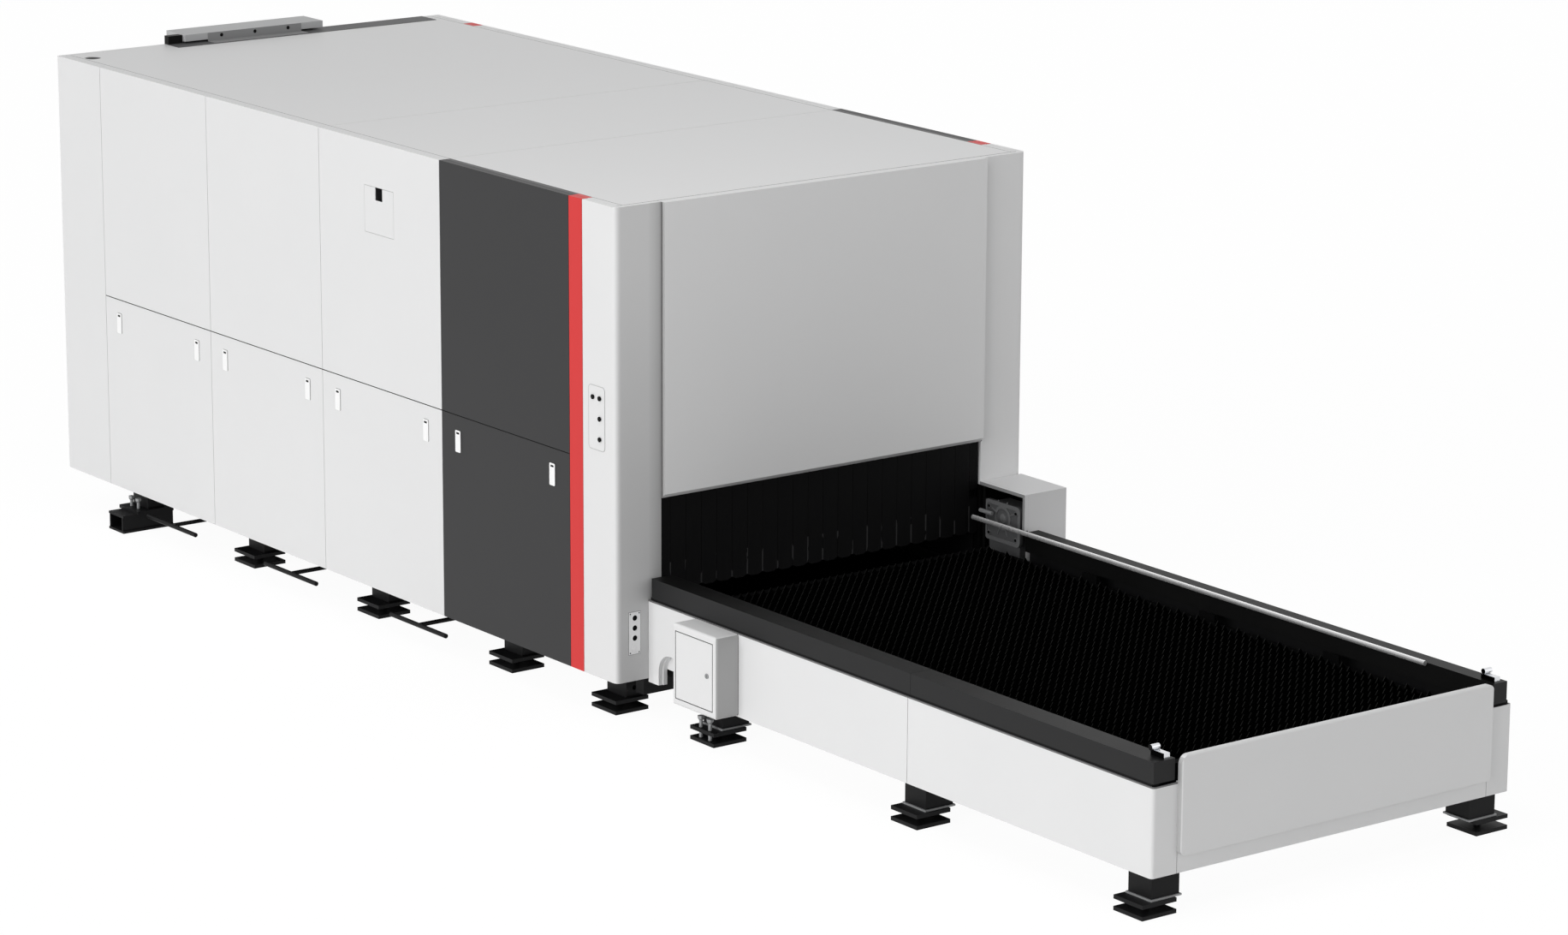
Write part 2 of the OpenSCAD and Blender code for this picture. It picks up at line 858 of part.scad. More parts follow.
module table_frame() {
    half = base_beam_in - weld_gap;
    placed() color("#1b1b1d") difference() {
        union() {
            table_side(table_start_x, drive_cover_l + table_start_x);
            mirror([0, 1, 0]) table_side(arch_x + arch_r + arch_rim, table_start_x);
            both_sides() for (x = table_feet_x) table_foot(x);
            for (x = table_feet_x) block([x - cross_w / 2, -half, bed_z], [x + cross_w / 2, half, cross_z]);
        }
        bar_y(chain_x1, chain_z, sprocket_shaft_r + shaft_play, beam_in - overrun, beam_out + overrun);
    }
}

// Straight run of skirt with folded lips, on the near side
module skirt_run(x0, x1) {
    block([x0, -skirt_half, skirt_bottom_z], [x1, -skirt_half + sheet_t, skirt_top_z]);
    block([x0, -skirt_half, skirt_bottom_z], [x1, -skirt_half + skirt_lip, skirt_bottom_z + sheet_t]);
    block([x0, -skirt_half, skirt_top_z - sheet_t], [x1, -beam_out, skirt_top_z]);
}

// Arch for the cables: a round head on straight sides
module arch_area(r) {
    rise = arch_top_z - arch_r;
    translate([arch_x, rise]) circle(r);
    translate([arch_x - r, 0]) square([2 * r, rise]);
}

// One step of the arch's folded edge, from y0 to y1
module arch_collar(r_out, r_in, y0, y1) {
    translate([0, y1, 0]) rotate([90, 0, 0]) linear_extrude(y1 - y0) difference() {
        arch_area(r_out);
        arch_area(r_in);
        translate([0, -overrun]) square([2 * (arch_x + arch_r), skirt_bottom_z + overrun]);
    }
}

module near_skirt_rear() {
    face_y = -skirt_half + sheet_t;
    back_y = face_y + arch_rim;
    plate_half = arch_r + sheet_t;
    placed() color("#e8e8e8") {
        difference() {
            skirt_run(skirt_start_x, skirt_seam_x - seam / 2);
            translate([0, back_y, 0]) rotate([90, 0, 0]) linear_extrude(2 * arch_rim) arch_area(arch_r);
        }
        arch_collar(arch_r + sheet_t, arch_r, face_y, back_y);
        arch_collar(arch_r, arch_r - arch_step, face_y + arch_rim / 2, back_y);
        block([arch_x - plate_half, back_y, arch_plate_z],
            [arch_x + plate_half, back_y + sheet_t, arch_top_z + sheet_t]);
    }
}

// Skirt's outline round the table's end, from the side seam to the end seam
module skirt_turn(inset) {
    r = skirt_corner_r - inset;
    difference() {
        translate([skirt_seam_x + seam / 2, -skirt_half + inset])
            square([table_l - inset - skirt_seam_x - seam / 2, skirt_end_return - inset]);
        difference() {
            translate([table_l - inset - r, -skirt_half + inset]) square(r);
            translate([table_l - inset - r, -skirt_half + inset + r]) circle(r);
        }
    }
}

module skirt_front() {
    translate([0, 0, skirt_bottom_z]) difference() {
        linear_extrude(skirt_h) skirt_turn(0);
        translate([0, 0, -overrun]) linear_extrude(skirt_h + 2 * overrun) difference() {
            translate([-overrun, overrun]) skirt_turn(sheet_t);
            translate([table_l - sheet_t, -skirt_half + skirt_corner_r]) square([sheet_t, skirt_end_return]);
        }
    }
    block([skirt_seam_x + seam / 2, -skirt_half + sheet_t, skirt_top_z - sheet_t],
        [table_l - skirt_corner_r, -beam_out, skirt_top_z]);
}

module near_skirt_front() {
    placed() color("#e8e8e8") skirt_front();
}

module far_skirts() {
    placed() color("#e8e8e8") mirror([0, 1, 0]) {
        skirt_run(drive_cover_l + table_start_x, skirt_seam_x - seam / 2);
        skirt_front();
    }
}

module end_skirt() {
    half = skirt_half - skirt_end_return - seam;
    placed() color("#e8e8e8") {
        block([table_l - sheet_t, -half, skirt_bottom_z], [table_l, half, skirt_top_z]);
        for (z = [skirt_bottom_z, skirt_top_z - sheet_t])
            block([table_l - skirt_lip, -half, z], [table_l, half, z + sheet_t]);
    }
}

module end_cover() {
    mid_z = end_cover_top_z - end_cover_h / 2;
    placed() color("#e4e4e4") translate([table_l, 0, mid_z]) rotate([90, 0, 90]) difference() {
        soft_plate(end_cover_w, end_cover_h, end_cover_proud, end_cover_r, end_cover_edge_r);
        translate([0, 0, -overrun]) soft_plate(end_cover_w - 2 * sheet_t, end_cover_h - 2 * sheet_t,
            end_cover_proud - sheet_t + overrun, end_cover_r - sheet_t, end_cover_edge_r - sheet_t);
    }
}

// Rectangular tube rail in two lengths, closed at the table's end
module rail_tube(x0, y0, y1) {
    difference() {
        block([x0, y0, rail_z], [table_l, y1, rail_top_z]);
        block([x0 - overrun, y0 + tube_t, rail_z + tube_t],
            [table_l - tube_t, y1 - tube_t, rail_top_z - tube_t]);
        block([rail_seam_x - rail_cut / 2, y0 - overrun, rail_z - overrun],
            [rail_seam_x + rail_cut / 2, y1 + overrun, rail_top_z + overrun]);
    }
}

module near_rail() {
    placed() color("#202022") rail_tube(rail_start_x, -skirt_half, -rail_in);
}

module far_rail() {
    placed() color("#202022") rail_tube(far_rail_start_x, rail_in, rail_in + far_rail_w);
}

module guide_bar() {
    placed() color("#d8dadd") bar_x(guide_y, guide_z, guide_r, guide_x0, guide_x1);
}

module rail_stop() {
    x1 = table_l - stop_end;
    y0 = rail_in + stop_in;
    top_z = rail_top_z + stop_h;
    block([x1 - stop_l, y0, rail_top_z], [x1, y0 + stop_w, top_z]);
    bar_y(x1 - stop_l + stop_roller_in, top_z + stop_roller_r - stop_roller_sink, stop_roller_r,
        y0, y0 + stop_w + stop_roller_out);
}

module rail_stops() {
    placed() color("#d8dadd") both_sides() rail_stop();
}

// Chain drive

module drive_cover() {
    x0 = skirt_start_x;
    x1 = skirt_start_x + drive_cover_l;
    placed() color("#dcdcdc") difference() {
        block([x0, cover_y, cross_z], [x1, half_w, drive_cover_z]);
        block([x0 + sheet_t, cover_y + sheet_t, cross_z - overrun],
            [x1 - sheet_t, half_w - sheet_t, drive_cover_z - sheet_t]);
        block([x0 + cover_lip, cover_y - overrun, cross_z - overrun],
            [x1 - cover_lip, cover_y + sheet_t + overrun, drive_cover_z - cover_lip]);
    }
}

module gearmotor() {
    body_l = gear_l - 2 * gear_flange_rim;
    body_h = gear_top_z - gear_flange_rim - cross_z;
    mid_z = gear_top_z - gear_face_h / 2;
    face_y = gear_y - gear_flange_t;
    lug_x = gear_l / 2 - gear_lug_inset;
    lug_z = gear_face_h / 2 - gear_lug_inset;
    boss_z = gear_top_z - gear_boss_drop;
    placed() color("#707377") difference() {
        union() {
            block([motor_x - body_l / 2, gear_y, cross_z],
                [motor_x + body_l / 2, gear_y + gear_w, cross_z + body_h]);
            translate([motor_x, gear_y, mid_z]) rotate([90, 0, 0]) {
                linear_extrude(gear_flange_t) round_plate(gear_l, gear_face_h, gear_round_r);
                linear_extrude(gear_flange_t + gear_rim_t) difference() {
                    round_plate(gear_l, gear_face_h, gear_round_r);
                    round_plate(body_l, gear_face_h - 2 * gear_flange_rim, gear_round_r - gear_flange_rim / 2);
                }
            }
            for (sx = [-1, 1], sz = [-1, 1])
                bar_y(motor_x + sx * lug_x, mid_z + sz * lug_z, gear_lug_r, face_y - gear_lug_t, gear_y);
            bar_y(motor_x, boss_z, gear_boss_r, face_y - gear_boss_t, gear_y);
            bar_y(motor_x, gear_top_z - motor_drop, motor_r, gear_y + gear_w, half_w - 2 * sheet_t);
        }
        bar_y(motor_x, boss_z, gear_boss_r - gear_boss_ring, face_y - gear_l, face_y);
        bar_y(chain_x0, chain_z, sprocket_shaft_r + shaft_play, gear_y - gear_l, gear_y + gear_w / 2);
    }
}

// Chain wheel with gaps round its rim and a plain shaft towards +Y
module sprocket(x, shaft_end) {
    translate([x, 0, chain_z]) {
        difference() {
            bar_y(0, 0, sprocket_r, chain_y, chain_y + chain_w);
            for (i = [0 : sprocket_gap_count - 1]) rotate([0, i * 360 / sprocket_gap_count, 0])
                bar_y(sprocket_r, 0, sprocket_gap_r, chain_y - overrun, chain_y + chain_w + overrun);
        }
        bar_y(0, 0, sprocket_shaft_r, chain_y + chain_w, shaft_end);
    }
}

module drive_sprocket() {
    placed() color("#85888c") sprocket(chain_x0, gear_y + gear_w / 2 - overrun);
}

module idler_sprocket() {
    placed() color("#85888c") sprocket(chain_x1, beam_out - overrun);
}

module chain_loop(r) {
    for (x = [chain_x0, chain_x1]) translate([x, chain_z]) circle(r);
    translate([chain_x0, chain_z - r]) square([chain_x1 - chain_x0, 2 * r]);
}

module drive_chain() {
    placed() color("#5c5f63") translate([0, chain_y + chain_w, 0]) rotate([90, 0, 0])
        linear_extrude(chain_w) difference() {
            chain_loop(chain_r + chain_t / 2);
            chain_loop(chain_r - chain_t / 2);
        }
}

// Control cabinet

module cabinet_box() {
    front_y = -skirt_half - cabinet_d;
    door_x0 = cabinet_x + cabinet_margin_x;
    door_x1 = cabinet_x + cabinet_w - cabinet_margin_x;
    door_z0 = cabinet_z + cabinet_margin_z;
    door_z1 = cabinet_z + cabinet_h - cabinet_margin_z;
    inner_r = cabinet_r - cabinet_t;
    placed() color("#e4e4e4") difference() {
        translate([cabinet_x + cabinet_w / 2, -skirt_half, cabinet_z + cabinet_h / 2]) rotate([90, 0, 0])
            difference() {
                soft_plate(cabinet_w, cabinet_h, cabinet_d, cabinet_r, cabinet_r);
                translate([0, 0, cabinet_t]) soft_plate(cabinet_w - 2 * cabinet_t,
                    cabinet_h - 2 * cabinet_t, cabinet_d - 2 * cabinet_t, inner_r, inner_r);
            }
        block([door_x0, front_y - overrun, door_z0], [door_x1, front_y + cabinet_t + overrun, door_z1]);
        translate([door_x0 + cabinet_seam + cabinet_pin_in, front_y + cabinet_t / 2,
            door_z0 - cabinet_pin_l])
            cylinder(r = cabinet_pin_r + pin_play, h = door_z1 - door_z0 + 2 * cabinet_pin_l);
    }
}

module cabinet_door() {
    front_y = -skirt_half - cabinet_d;
    x0 = cabinet_x + cabinet_margin_x + cabinet_seam;
    x1 = cabinet_x + cabinet_w - cabinet_margin_x - cabinet_seam;
    z0 = cabinet_z + cabinet_margin_z + cabinet_seam;
    z1 = cabinet_z + cabinet_h - cabinet_margin_z - cabinet_seam;
    placed() color("#e8e8e8") {
        difference() {
            block([x0, front_y, z0], [x1, front_y + cabinet_t, z1]);
            bar_y(x1 - lock_in, lock_z, lock_barrel_r + lock_play,
                front_y - overrun, front_y + cabinet_t + overrun);
        }
        translate([x0 + cabinet_pin_in, front_y + cabinet_t / 2, z0 - cabinet_pin_l])
            cylinder(r = cabinet_pin_r, h = z1 - z0 + 2 * cabinet_pin_l);
    }
}

module cabinet_lock() {
    front_y = -skirt_half - cabinet_d;
    x = cabinet_x + cabinet_w - cabinet_margin_x - cabinet_seam - lock_in;
    cam_y = front_y + cabinet_t + lock_play;
    placed() color("#a5a8ac") {
        bar_y(x, lock_z, lock_r, front_y - lock_t, front_y - run_gap);
        bar_y(x, lock_z, lock_barrel_r, front_y - run_gap, cam_y);
        block([x - lock_cam_w / 2, cam_y, lock_z - lock_cam_w / 2],
            [x + lock_cam_l, cam_y + lock_t, lock_z + lock_cam_w / 2]);
    }
}

// Pallets

module pallet_frame(x, level, chain_run_z) {
    lug_x = pallet_l + lug_reach;
    side_in = pallet_half - bar_t;
    run_low = chain_run_z - lug_arm_h / 2;
    run_high = chain_run_z + lug_arm_h / 2;
    arm_y = pallet_half + weld_gap;
    arm_out = arm_y + lug_arm_t;
    placed() color("#232326") translate([x, 0, 0]) difference() {
        union() {
            both_sides() {
                block([0, side_in, level], [pallet_l, pallet_half, level + bar_h]);
                for (share = lift_lug_shares)
                    translate([share * pallet_l - lift_lug_l / 2, pallet_half - lift_lug_t,
                        level + bar_h + weld_gap])
                        cube([lift_lug_l, lift_lug_t, pallet_h - bar_h + lift_lug_over]);
            }
            for (end_x = [0, pallet_l - end_bar_w])
                block([end_x, -side_in + weld_gap, level],
                    [end_x + end_bar_w, side_in - weld_gap, level + bar_h]);
            for (y = [-stringer_y, 0, stringer_y])
                block([end_bar_w + weld_gap, y - stringer_w / 2, level],
                    [pallet_l - end_bar_w - weld_gap, y + stringer_w / 2, level + stringer_h]);
            block([pallet_l - lug_back, arm_y, run_low], [lug_x + lug_block_l / 2, arm_out, run_high]);
            block([lug_x - lug_block_l / 2, arm_out + weld_gap, run_low],
                [lug_x + lug_block_l / 2, chain_y - run_gap, run_high]);
        }
        for (axle_x = [axle_inset, pallet_l - axle_inset])
            bar_y(axle_x, level + axle_up, axle_r + axle_play, -pallet_half - overrun, pallet_half + overrun);
    }
}

// Outline of a slat from its foot up, with triangular teeth; odd slats start half a tooth later
module slat_outline(shift) {
    pitch = 2 * slat_half / tooth_count;
    valley = slat_h - tooth_h;
    first = -slat_half + shift * pitch / 2;
    teeth = [for (i = [0 : tooth_count - 1 - shift], p = [[0, valley], [pitch / 2, slat_h]])
        [first + i * pitch + p.x, p.y]];
    polygon(concat([[-slat_half, 0]], shift > 0 ? [[-slat_half, valley]] : [], teeth,
        [[first + (tooth_count - shift) * pitch, valley]], shift > 0 ? [[slat_half, valley]] : [],
        [[slat_half, 0]]));
}

module pallet_slats(x, level) {
    field = pallet_l - 2 * end_bar_w;
    pitch = field / slat_count;
    placed() color("#2a2a2c") for (i = [0 : slat_count - 1])
        translate([x + end_bar_w + (i + 0.5) * pitch - slat_t / 2, 0, level + stringer_h])
            rotate([90, 0, 90]) linear_extrude(slat_t) slat_outline(i % 2);
}

module pallet_wheels(x, level) {
    placed() color("#5f6266") {
        bar_y(x, level + axle_up, axle_r, -axle_end_y, axle_end_y);
        both_sides() bar_y(x, level + axle_up, wheel_r, wheel_in, wheel_in + wheel_t);
    }
}

module pallet_a_frame() {
    pallet_frame(pallet_x, level_a, chain_upper_z);
}

module pallet_a_slats() {
    pallet_slats(pallet_x, level_a);
}

module pallet_a_wheels_front() {
    pallet_wheels(pallet_x + pallet_l - axle_inset, level_a);
}

module pallet_a_wheels_rear() {
    pallet_wheels(pallet_x + axle_inset, level_a);
}

module pallet_b_frame() {
    pallet_frame(pallet_x - pallet_travel, level_b, chain_lower_z);
}

module pallet_b_slats() {
    pallet_slats(pallet_x - pallet_travel, level_b);
}

module pallet_b_wheels_front() {
    pallet_wheels(pallet_x - pallet_travel + pallet_l - axle_inset, level_b);
}

module pallet_b_wheels_rear() {
    pallet_wheels(pallet_x - pallet_travel + axle_inset, level_b);
}

// Slag drawers

module slag_drawer(i) {
    half = drawer_half;
    placed() color("#19191a") translate([drawers_x[i], 0, drawer_bottom_z]) {
        difference() {
            block([-drawer_w / 2, -half, 0], [drawer_w / 2, half, drawer_h]);
            block([-drawer_w / 2 + drawer_t, -half + drawer_t, drawer_t],
                [drawer_w / 2 - drawer_t, half - drawer_t, drawer_h + overrun]);
        }
        translate([0, 0, handle_rise]) {
            bar_x(-handle_y, 0, handle_r, -handle_l / 2, handle_l / 2);
            block([-handle_arm_w / 2, -handle_y, -handle_arm_h / 2],
                [handle_arm_w / 2, -half, handle_arm_h / 2]);
        }
    }
}

module slag_drawer_1() {
    slag_drawer(0);
}

module slag_drawer_2() {
    slag_drawer(1);
}

module slag_drawer_3() {
    slag_drawer(2);
}

// Cabin panels

module roof_pan(x0, x1) {
    y = inner_w - seam;
    difference() {
        block([x0, -y, roof_z - panel_d], [x1, y, roof_z]);
        block([x0 + sheet_t, -y + sheet_t, roof_z - panel_d - overrun],
            [x1 - sheet_t, y - sheet_t, roof_z - sheet_t]);
    }
}

module roof_panels() {
    cuts = [-cabin_l + panel_d, column_x(2), column_x(3), -panel_d];
    placed() color("#cfcfcf") difference() {
        for (i = [0 : 2]) roof_pan(cuts[i] + seam / 2, cuts[i + 1] - seam / 2);
        translate([-cabin_l + duct_in_x, -half_w + duct_in_y, roof_z - panel_d])
            cylinder(r = duct_r, h = panel_d + overrun);
    }
}

module rear_corners() {
    placed() color("#e8e8e8") {
        rear_corner(rear_post_w - seam / 2);
        mirror([0, 1, 0]) rear_corner(far_post_w - seam / 2);
    }
}

module front_corner_near() {
    placed() color("#e8e8e8") difference() {
        front_corner();
        for (p = button_places())
            bar_y(p.x, p.y, button_stem_r + button_drift, -half_w - overrun, -half_w + sheet_t + overrun);
    }
}

module front_corner_far() {
    placed() color("#e8e8e8") mirror([0, 1, 0]) front_corner();
}

module accent_strips() {
    front = column_x(column_count);
    rear = -cabin_l + far_post_w;
    placed() color("#dc4848") {
        both_sides() side_pan(front + seam / 2, front + accent_w - seam / 2, cabin_gap, roof_z);
        mirror([0, 1, 0]) side_pan(rear + seam / 2, columns_x - seam / 2, cabin_gap, roof_z);
    }
}

// Side view of the front cover: its lower edge slopes down and back to a drip edge
module cover_side(inset) {
    low_z = cover_bottom_z - cover_drip;
    polygon(inset > 0 ? [
        [-panel_d - overrun, low_z - overrun], [-inset, low_z - overrun], [-inset, low_z + inset],
        [cover_proud - inset, cover_bottom_z + inset], [cover_proud - inset, roof_z - inset],
        [-panel_d - overrun, roof_z - inset]
    ] : [
        [-panel_d, low_z], [0, low_z], [cover_proud, cover_bottom_z],
        [cover_proud, roof_z], [-panel_d, roof_z]
    ]);
}

module front_cover() {
    half = cover_w / 2 - seam / 2;
    placed() color("#dadada") difference() {
        translate([0, half, 0]) rotate([90, 0, 0]) linear_extrude(2 * half) cover_side(0);
        translate([0, half - sheet_t, 0]) rotate([90, 0, 0])
            linear_extrude(2 * (half - sheet_t)) cover_side(sheet_t);
    }
}

// Strips hang side by side from the middle outwards, and the outermost are cut to the opening
module strip_curtain() {
    half = strip_span / 2;
    count = floor((half - strip_least) / strip_w) + 1;
    placed() color("#1a1a1b") for (i = [-count : count - 1])
        block([strip_x, max(-half, i * strip_w + strip_gap / 2), strip_bottom_z],
            [strip_x + strip_t, min(half, (i + 1) * strip_w - strip_gap / 2), strip_top_z]);
}

module hatch_opening() {
    block([hatch_x - hatch_w / 2, -half_w - overrun, hatch_mid_z - hatch_h / 2],
        [hatch_x + hatch_w / 2, -half_w + sheet_t + overrun, hatch_mid_z + hatch_h / 2]);
    bar_x(-half_w + sheet_t / 2, hatch_mid_z, hatch_pin_r + pin_play,
        hatch_x - hatch_w / 2 - hatch_pin_l, hatch_x + hatch_w / 2 + hatch_pin_l);
}

module side_panels() {
    upper_z = door_seam_z + seam / 2;
    lower_z = door_seam_z - seam / 2;
    placed() color("#e8e8e8") {
        difference() {
            for (i = [0 : 2]) column_pan(i, upper_z, roof_z);
            hatch_opening();
        }
        mirror([0, 1, 0]) for (i = [0 : 2]) {
            column_pan(i, upper_z, roof_z);
            column_pan(i, cabin_gap, lower_z);
        }
    }
}

module dark_panels() {
    upper_z = door_seam_z + seam / 2;
    placed() color("#484849") {
        both_sides() column_pan(3, upper_z, roof_z);
        mirror([0, 1, 0]) column_pan(3, cabin_gap, door_seam_z - seam / 2);
    }
}

// Lift-off access door with a latch plate near each upper corner
module access_door(i, tint) {
    top_z = door_seam_z - seam / 2;
    latch_top = door_seam_z - latch_drop;
    hole_top = latch_top - latch_hole_drop;
    face_y = -half_w - latch_proud;
    placed() {
        color(tint) column_pan(i, cabin_gap, top_z);
        color("#f2f2f2") for (x = [column_x(i) + latch_inset, column_x(i + 1) - latch_inset])
            difference() {
                face_plate(x, face_y, latch_top - latch_h / 2, latch_w, latch_h, latch_r, latch_proud);
                block([x - latch_hole_w / 2, face_y - overrun, hole_top - latch_hole_h],
                    [x + latch_hole_w / 2, -half_w, hole_top]);
            }
    }
}

module access_door_1() {
    access_door(0, "#e8e8e8");
}

module access_door_2() {
    access_door(1, "#e8e8e8");
}

module access_door_3() {
    access_door(2, "#e8e8e8");
}

module access_door_4() {
    access_door(3, "#484849");
}

module inspection_hatch() {
    w = hatch_w - 2 * hatch_gap;
    h = hatch_h - 2 * hatch_gap;
    placed() color("#e8e8e8") {
        difference() {
            block([hatch_x - w / 2, -half_w, hatch_mid_z - h / 2],
                [hatch_x + w / 2, -half_w + sheet_t, hatch_mid_z + h / 2]);
            block([hatch_x - hatch_notch / 2, -half_w - overrun, hatch_mid_z + h / 2 - hatch_notch],
                [hatch_x + hatch_notch / 2, -half_w + sheet_t + overrun, hatch_mid_z + h / 2 + overrun]);
        }
        bar_x(-half_w + sheet_t / 2, hatch_mid_z, hatch_pin_r,
            hatch_x - w / 2 - hatch_pin_l, hatch_x + w / 2 + hatch_pin_l);
    }
}

// Buttons

function button_place(column, row) = [
    plate_x + plate_w * button_row_shares[column],
    plate_mid_z + plate_h * button_rise_shares[row]];

function button_places() = [button_place(0, 0), button_place(1, 0), button_place(1, 1), button_place(1, 2)];

module button_plate() {
    placed() color("#dedede") difference() {
        face_plate(plate_x, -half_w - plate_t, plate_mid_z, plate_w, plate_h, plate_r, plate_t);
        for (p = button_places())
            bar_y(p.x, p.y, button_stem_r + button_drift, -half_w - plate_t - overrun, -half_w + overrun);
    }
}

module push_button(i) {
    p = button_places()[i];
    cap_y = -half_w - plate_t - button_travel - button_drift;
    placed() color("#111112") {
        bar_y(p.x, p.y, button_r, cap_y - button_cap_t, cap_y);
        bar_y(p.x, p.y, button_stem_r, cap_y, cap_y + button_stem_l);
        translate([0, -half_w + sheet_t + run_gap, 0]) bar_y(p.x, p.y, button_back_r, 0, button_back_t);
    }
}

module push_button_1() {
    push_button(0);
}

module push_button_2() {
    push_button(1);
}

module push_button_3() {
    push_button(2);
}

module push_button_4() {
    push_button(3);
}

// Rear end

module rear_wall() {
    half = half_w - rear_corner_w - seam / 2;
    placed() color("#e4e4e4") difference() {
        block([-cabin_l, -half, cabin_gap], [-cabin_l + panel_d, half, roof_z]);
        difference() {
            block([-cabin_l + sheet_t, -half + sheet_t, cabin_gap + sheet_t],
                [-cabin_l + panel_d + overrun, half - sheet_t, roof_z - sheet_t]);
            block([-cabin_l, door_mid_y - opening_w / 2 - sheet_t, opening_bottom_z - sheet_t],
                [-cabin_l + panel_d, door_mid_y + opening_w / 2 + sheet_t, opening_top_z + sheet_t]);
        }
        block([-cabin_l - overrun, door_mid_y - opening_w / 2, opening_bottom_z],
            [-cabin_l + panel_d + overrun, door_mid_y + opening_w / 2, opening_top_z]);
    }
}

module rear_door() {
    x1 = -cabin_l - door_gap;
    top_z = roof_z + hanger_z;
    low = [x1 - door_t, door_mid_y - door_w / 2, cabin_gap + door_lift];
    high = [x1, door_mid_y + door_w / 2, top_z];
    rim = [0, sheet_t, sheet_t];
    placed() color("#e4e4e4") difference() {
        block(low, high);
        block(low + rim + [sheet_t, 0, 0], high - rim + [overrun, 0, 0]);
    }
}

module door_hanger() {
    front = -cabin_l + hanger_front;
    half = door_w / 2;
    low_z = roof_z + hanger_z;
    foot_z = roof_z + track_plate_t + run_gap;
    placed() translate([0, door_mid_y, 0]) {
        color("#b9bbbe") difference() {
            block([front - hanger_d, -half, low_z], [front, half, low_z + hanger_h]);
            block([front - hanger_d + sheet_t, -half + sheet_t, low_z + sheet_t],
                [front - sheet_t, half - sheet_t, low_z + hanger_h - sheet_t]);
        }
        color("#6a6c6f") {
            block([front, -bracket_len / 2, foot_z],
                [front + bracket_t, bracket_len / 2, low_z + hanger_h]);
            block([front + bracket_t, -bracket_len / 2, foot_z],
                [front + bracket_leg, bracket_len / 2, foot_z + bracket_t]);
        }
    }
}

module rear_track() {
    start_y = door_mid_y - door_w / 2 - track_before;
    placed() color("#57595c") translate([-cabin_l, 0, roof_z]) {
        block([0, start_y, 0], [track_strip_w, half_w - track_inset, track_plate_t]);
        translate([0, start_y, track_plate_t]) cube([stop_block_d, stop_block_w, stop_block_h]);
    }
}

bed_frame();
fork_tube();
levelling_pads();
enclosure_frame();
x_guides();
gantry_beam();
y_carriage();
cutting_head();
table_frame();
near_skirt_rear();
near_skirt_front();
far_skirts();
end_skirt();
end_cover();
near_rail();
far_rail();
guide_bar();
rail_stops();
drive_cover();
gearmotor();
drive_sprocket();
idler_sprocket();
drive_chain();
cabinet_box();
cabinet_door();
cabinet_lock();
pallet_a_frame();
pallet_a_slats();
pallet_a_wheels_front();
pallet_a_wheels_rear();
pallet_b_frame();
pallet_b_slats();
pallet_b_wheels_front();
pallet_b_wheels_rear();
slag_drawer_1();
slag_drawer_2();
slag_drawer_3();
roof_panels();
rear_corners();
front_corner_near();
front_corner_far();
accent_strips();
front_cover();
strip_curtain();
side_panels();
dark_panels();
access_door_1();
access_door_2();
access_door_3();
access_door_4();
inspection_hatch();
button_plate();
push_button_1();
push_button_2();
push_button_3();
push_button_4();
rear_wall();
rear_door();
door_hanger();
rear_track();
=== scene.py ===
import math

import bmesh
import bpy
from mathutils import Matrix, Vector


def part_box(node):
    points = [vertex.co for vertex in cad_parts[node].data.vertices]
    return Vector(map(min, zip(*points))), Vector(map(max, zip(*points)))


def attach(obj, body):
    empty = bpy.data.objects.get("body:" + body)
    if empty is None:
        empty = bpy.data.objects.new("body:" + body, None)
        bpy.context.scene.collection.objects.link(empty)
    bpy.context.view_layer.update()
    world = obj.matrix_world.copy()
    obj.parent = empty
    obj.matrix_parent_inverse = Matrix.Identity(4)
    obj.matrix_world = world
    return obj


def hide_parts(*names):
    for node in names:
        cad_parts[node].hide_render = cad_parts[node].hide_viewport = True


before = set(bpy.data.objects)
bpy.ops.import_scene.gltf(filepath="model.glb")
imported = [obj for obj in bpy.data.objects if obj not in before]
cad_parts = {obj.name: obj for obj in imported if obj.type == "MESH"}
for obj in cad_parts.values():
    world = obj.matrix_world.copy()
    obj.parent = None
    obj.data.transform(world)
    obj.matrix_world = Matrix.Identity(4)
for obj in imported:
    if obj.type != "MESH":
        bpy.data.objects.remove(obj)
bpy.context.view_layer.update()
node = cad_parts

# Camera of the product picture: a long lens, well off the table's end corner and a little above
# the roof. Place and turn come from the machine's own straight edges.
azimuth, elevation, roll = (math.radians(a) for a in (53.047, 14.001, 0.2627))
standpoint, lens, sensor_w, sight = (18.6664, -13.6670, 6.6189), 117.88, 36, 200
right = Vector((math.cos(azimuth), math.sin(azimuth), 0))
back = Vector((math.sin(azimuth) * math.cos(elevation), -math.cos(azimuth) * math.cos(elevation),
               math.sin(elevation)))
up = back.cross(right)
right, up = right * math.cos(roll) + up * math.sin(roll), up * math.cos(roll) - right * math.sin(roll)
turn = Matrix((right, up, back)).transposed().to_4x4()
camera = bpy.data.objects.new("camera", bpy.data.cameras.new("camera"))
camera.data.lens = lens
camera.data.sensor_width = sensor_w
camera.data.clip_end = sight
camera.matrix_world = Matrix.Translation(standpoint) @ turn
bpy.context.scene.collection.objects.link(camera)
bpy.context.scene.camera = camera
bpy.context.scene.view_settings.view_transform = "Standard"


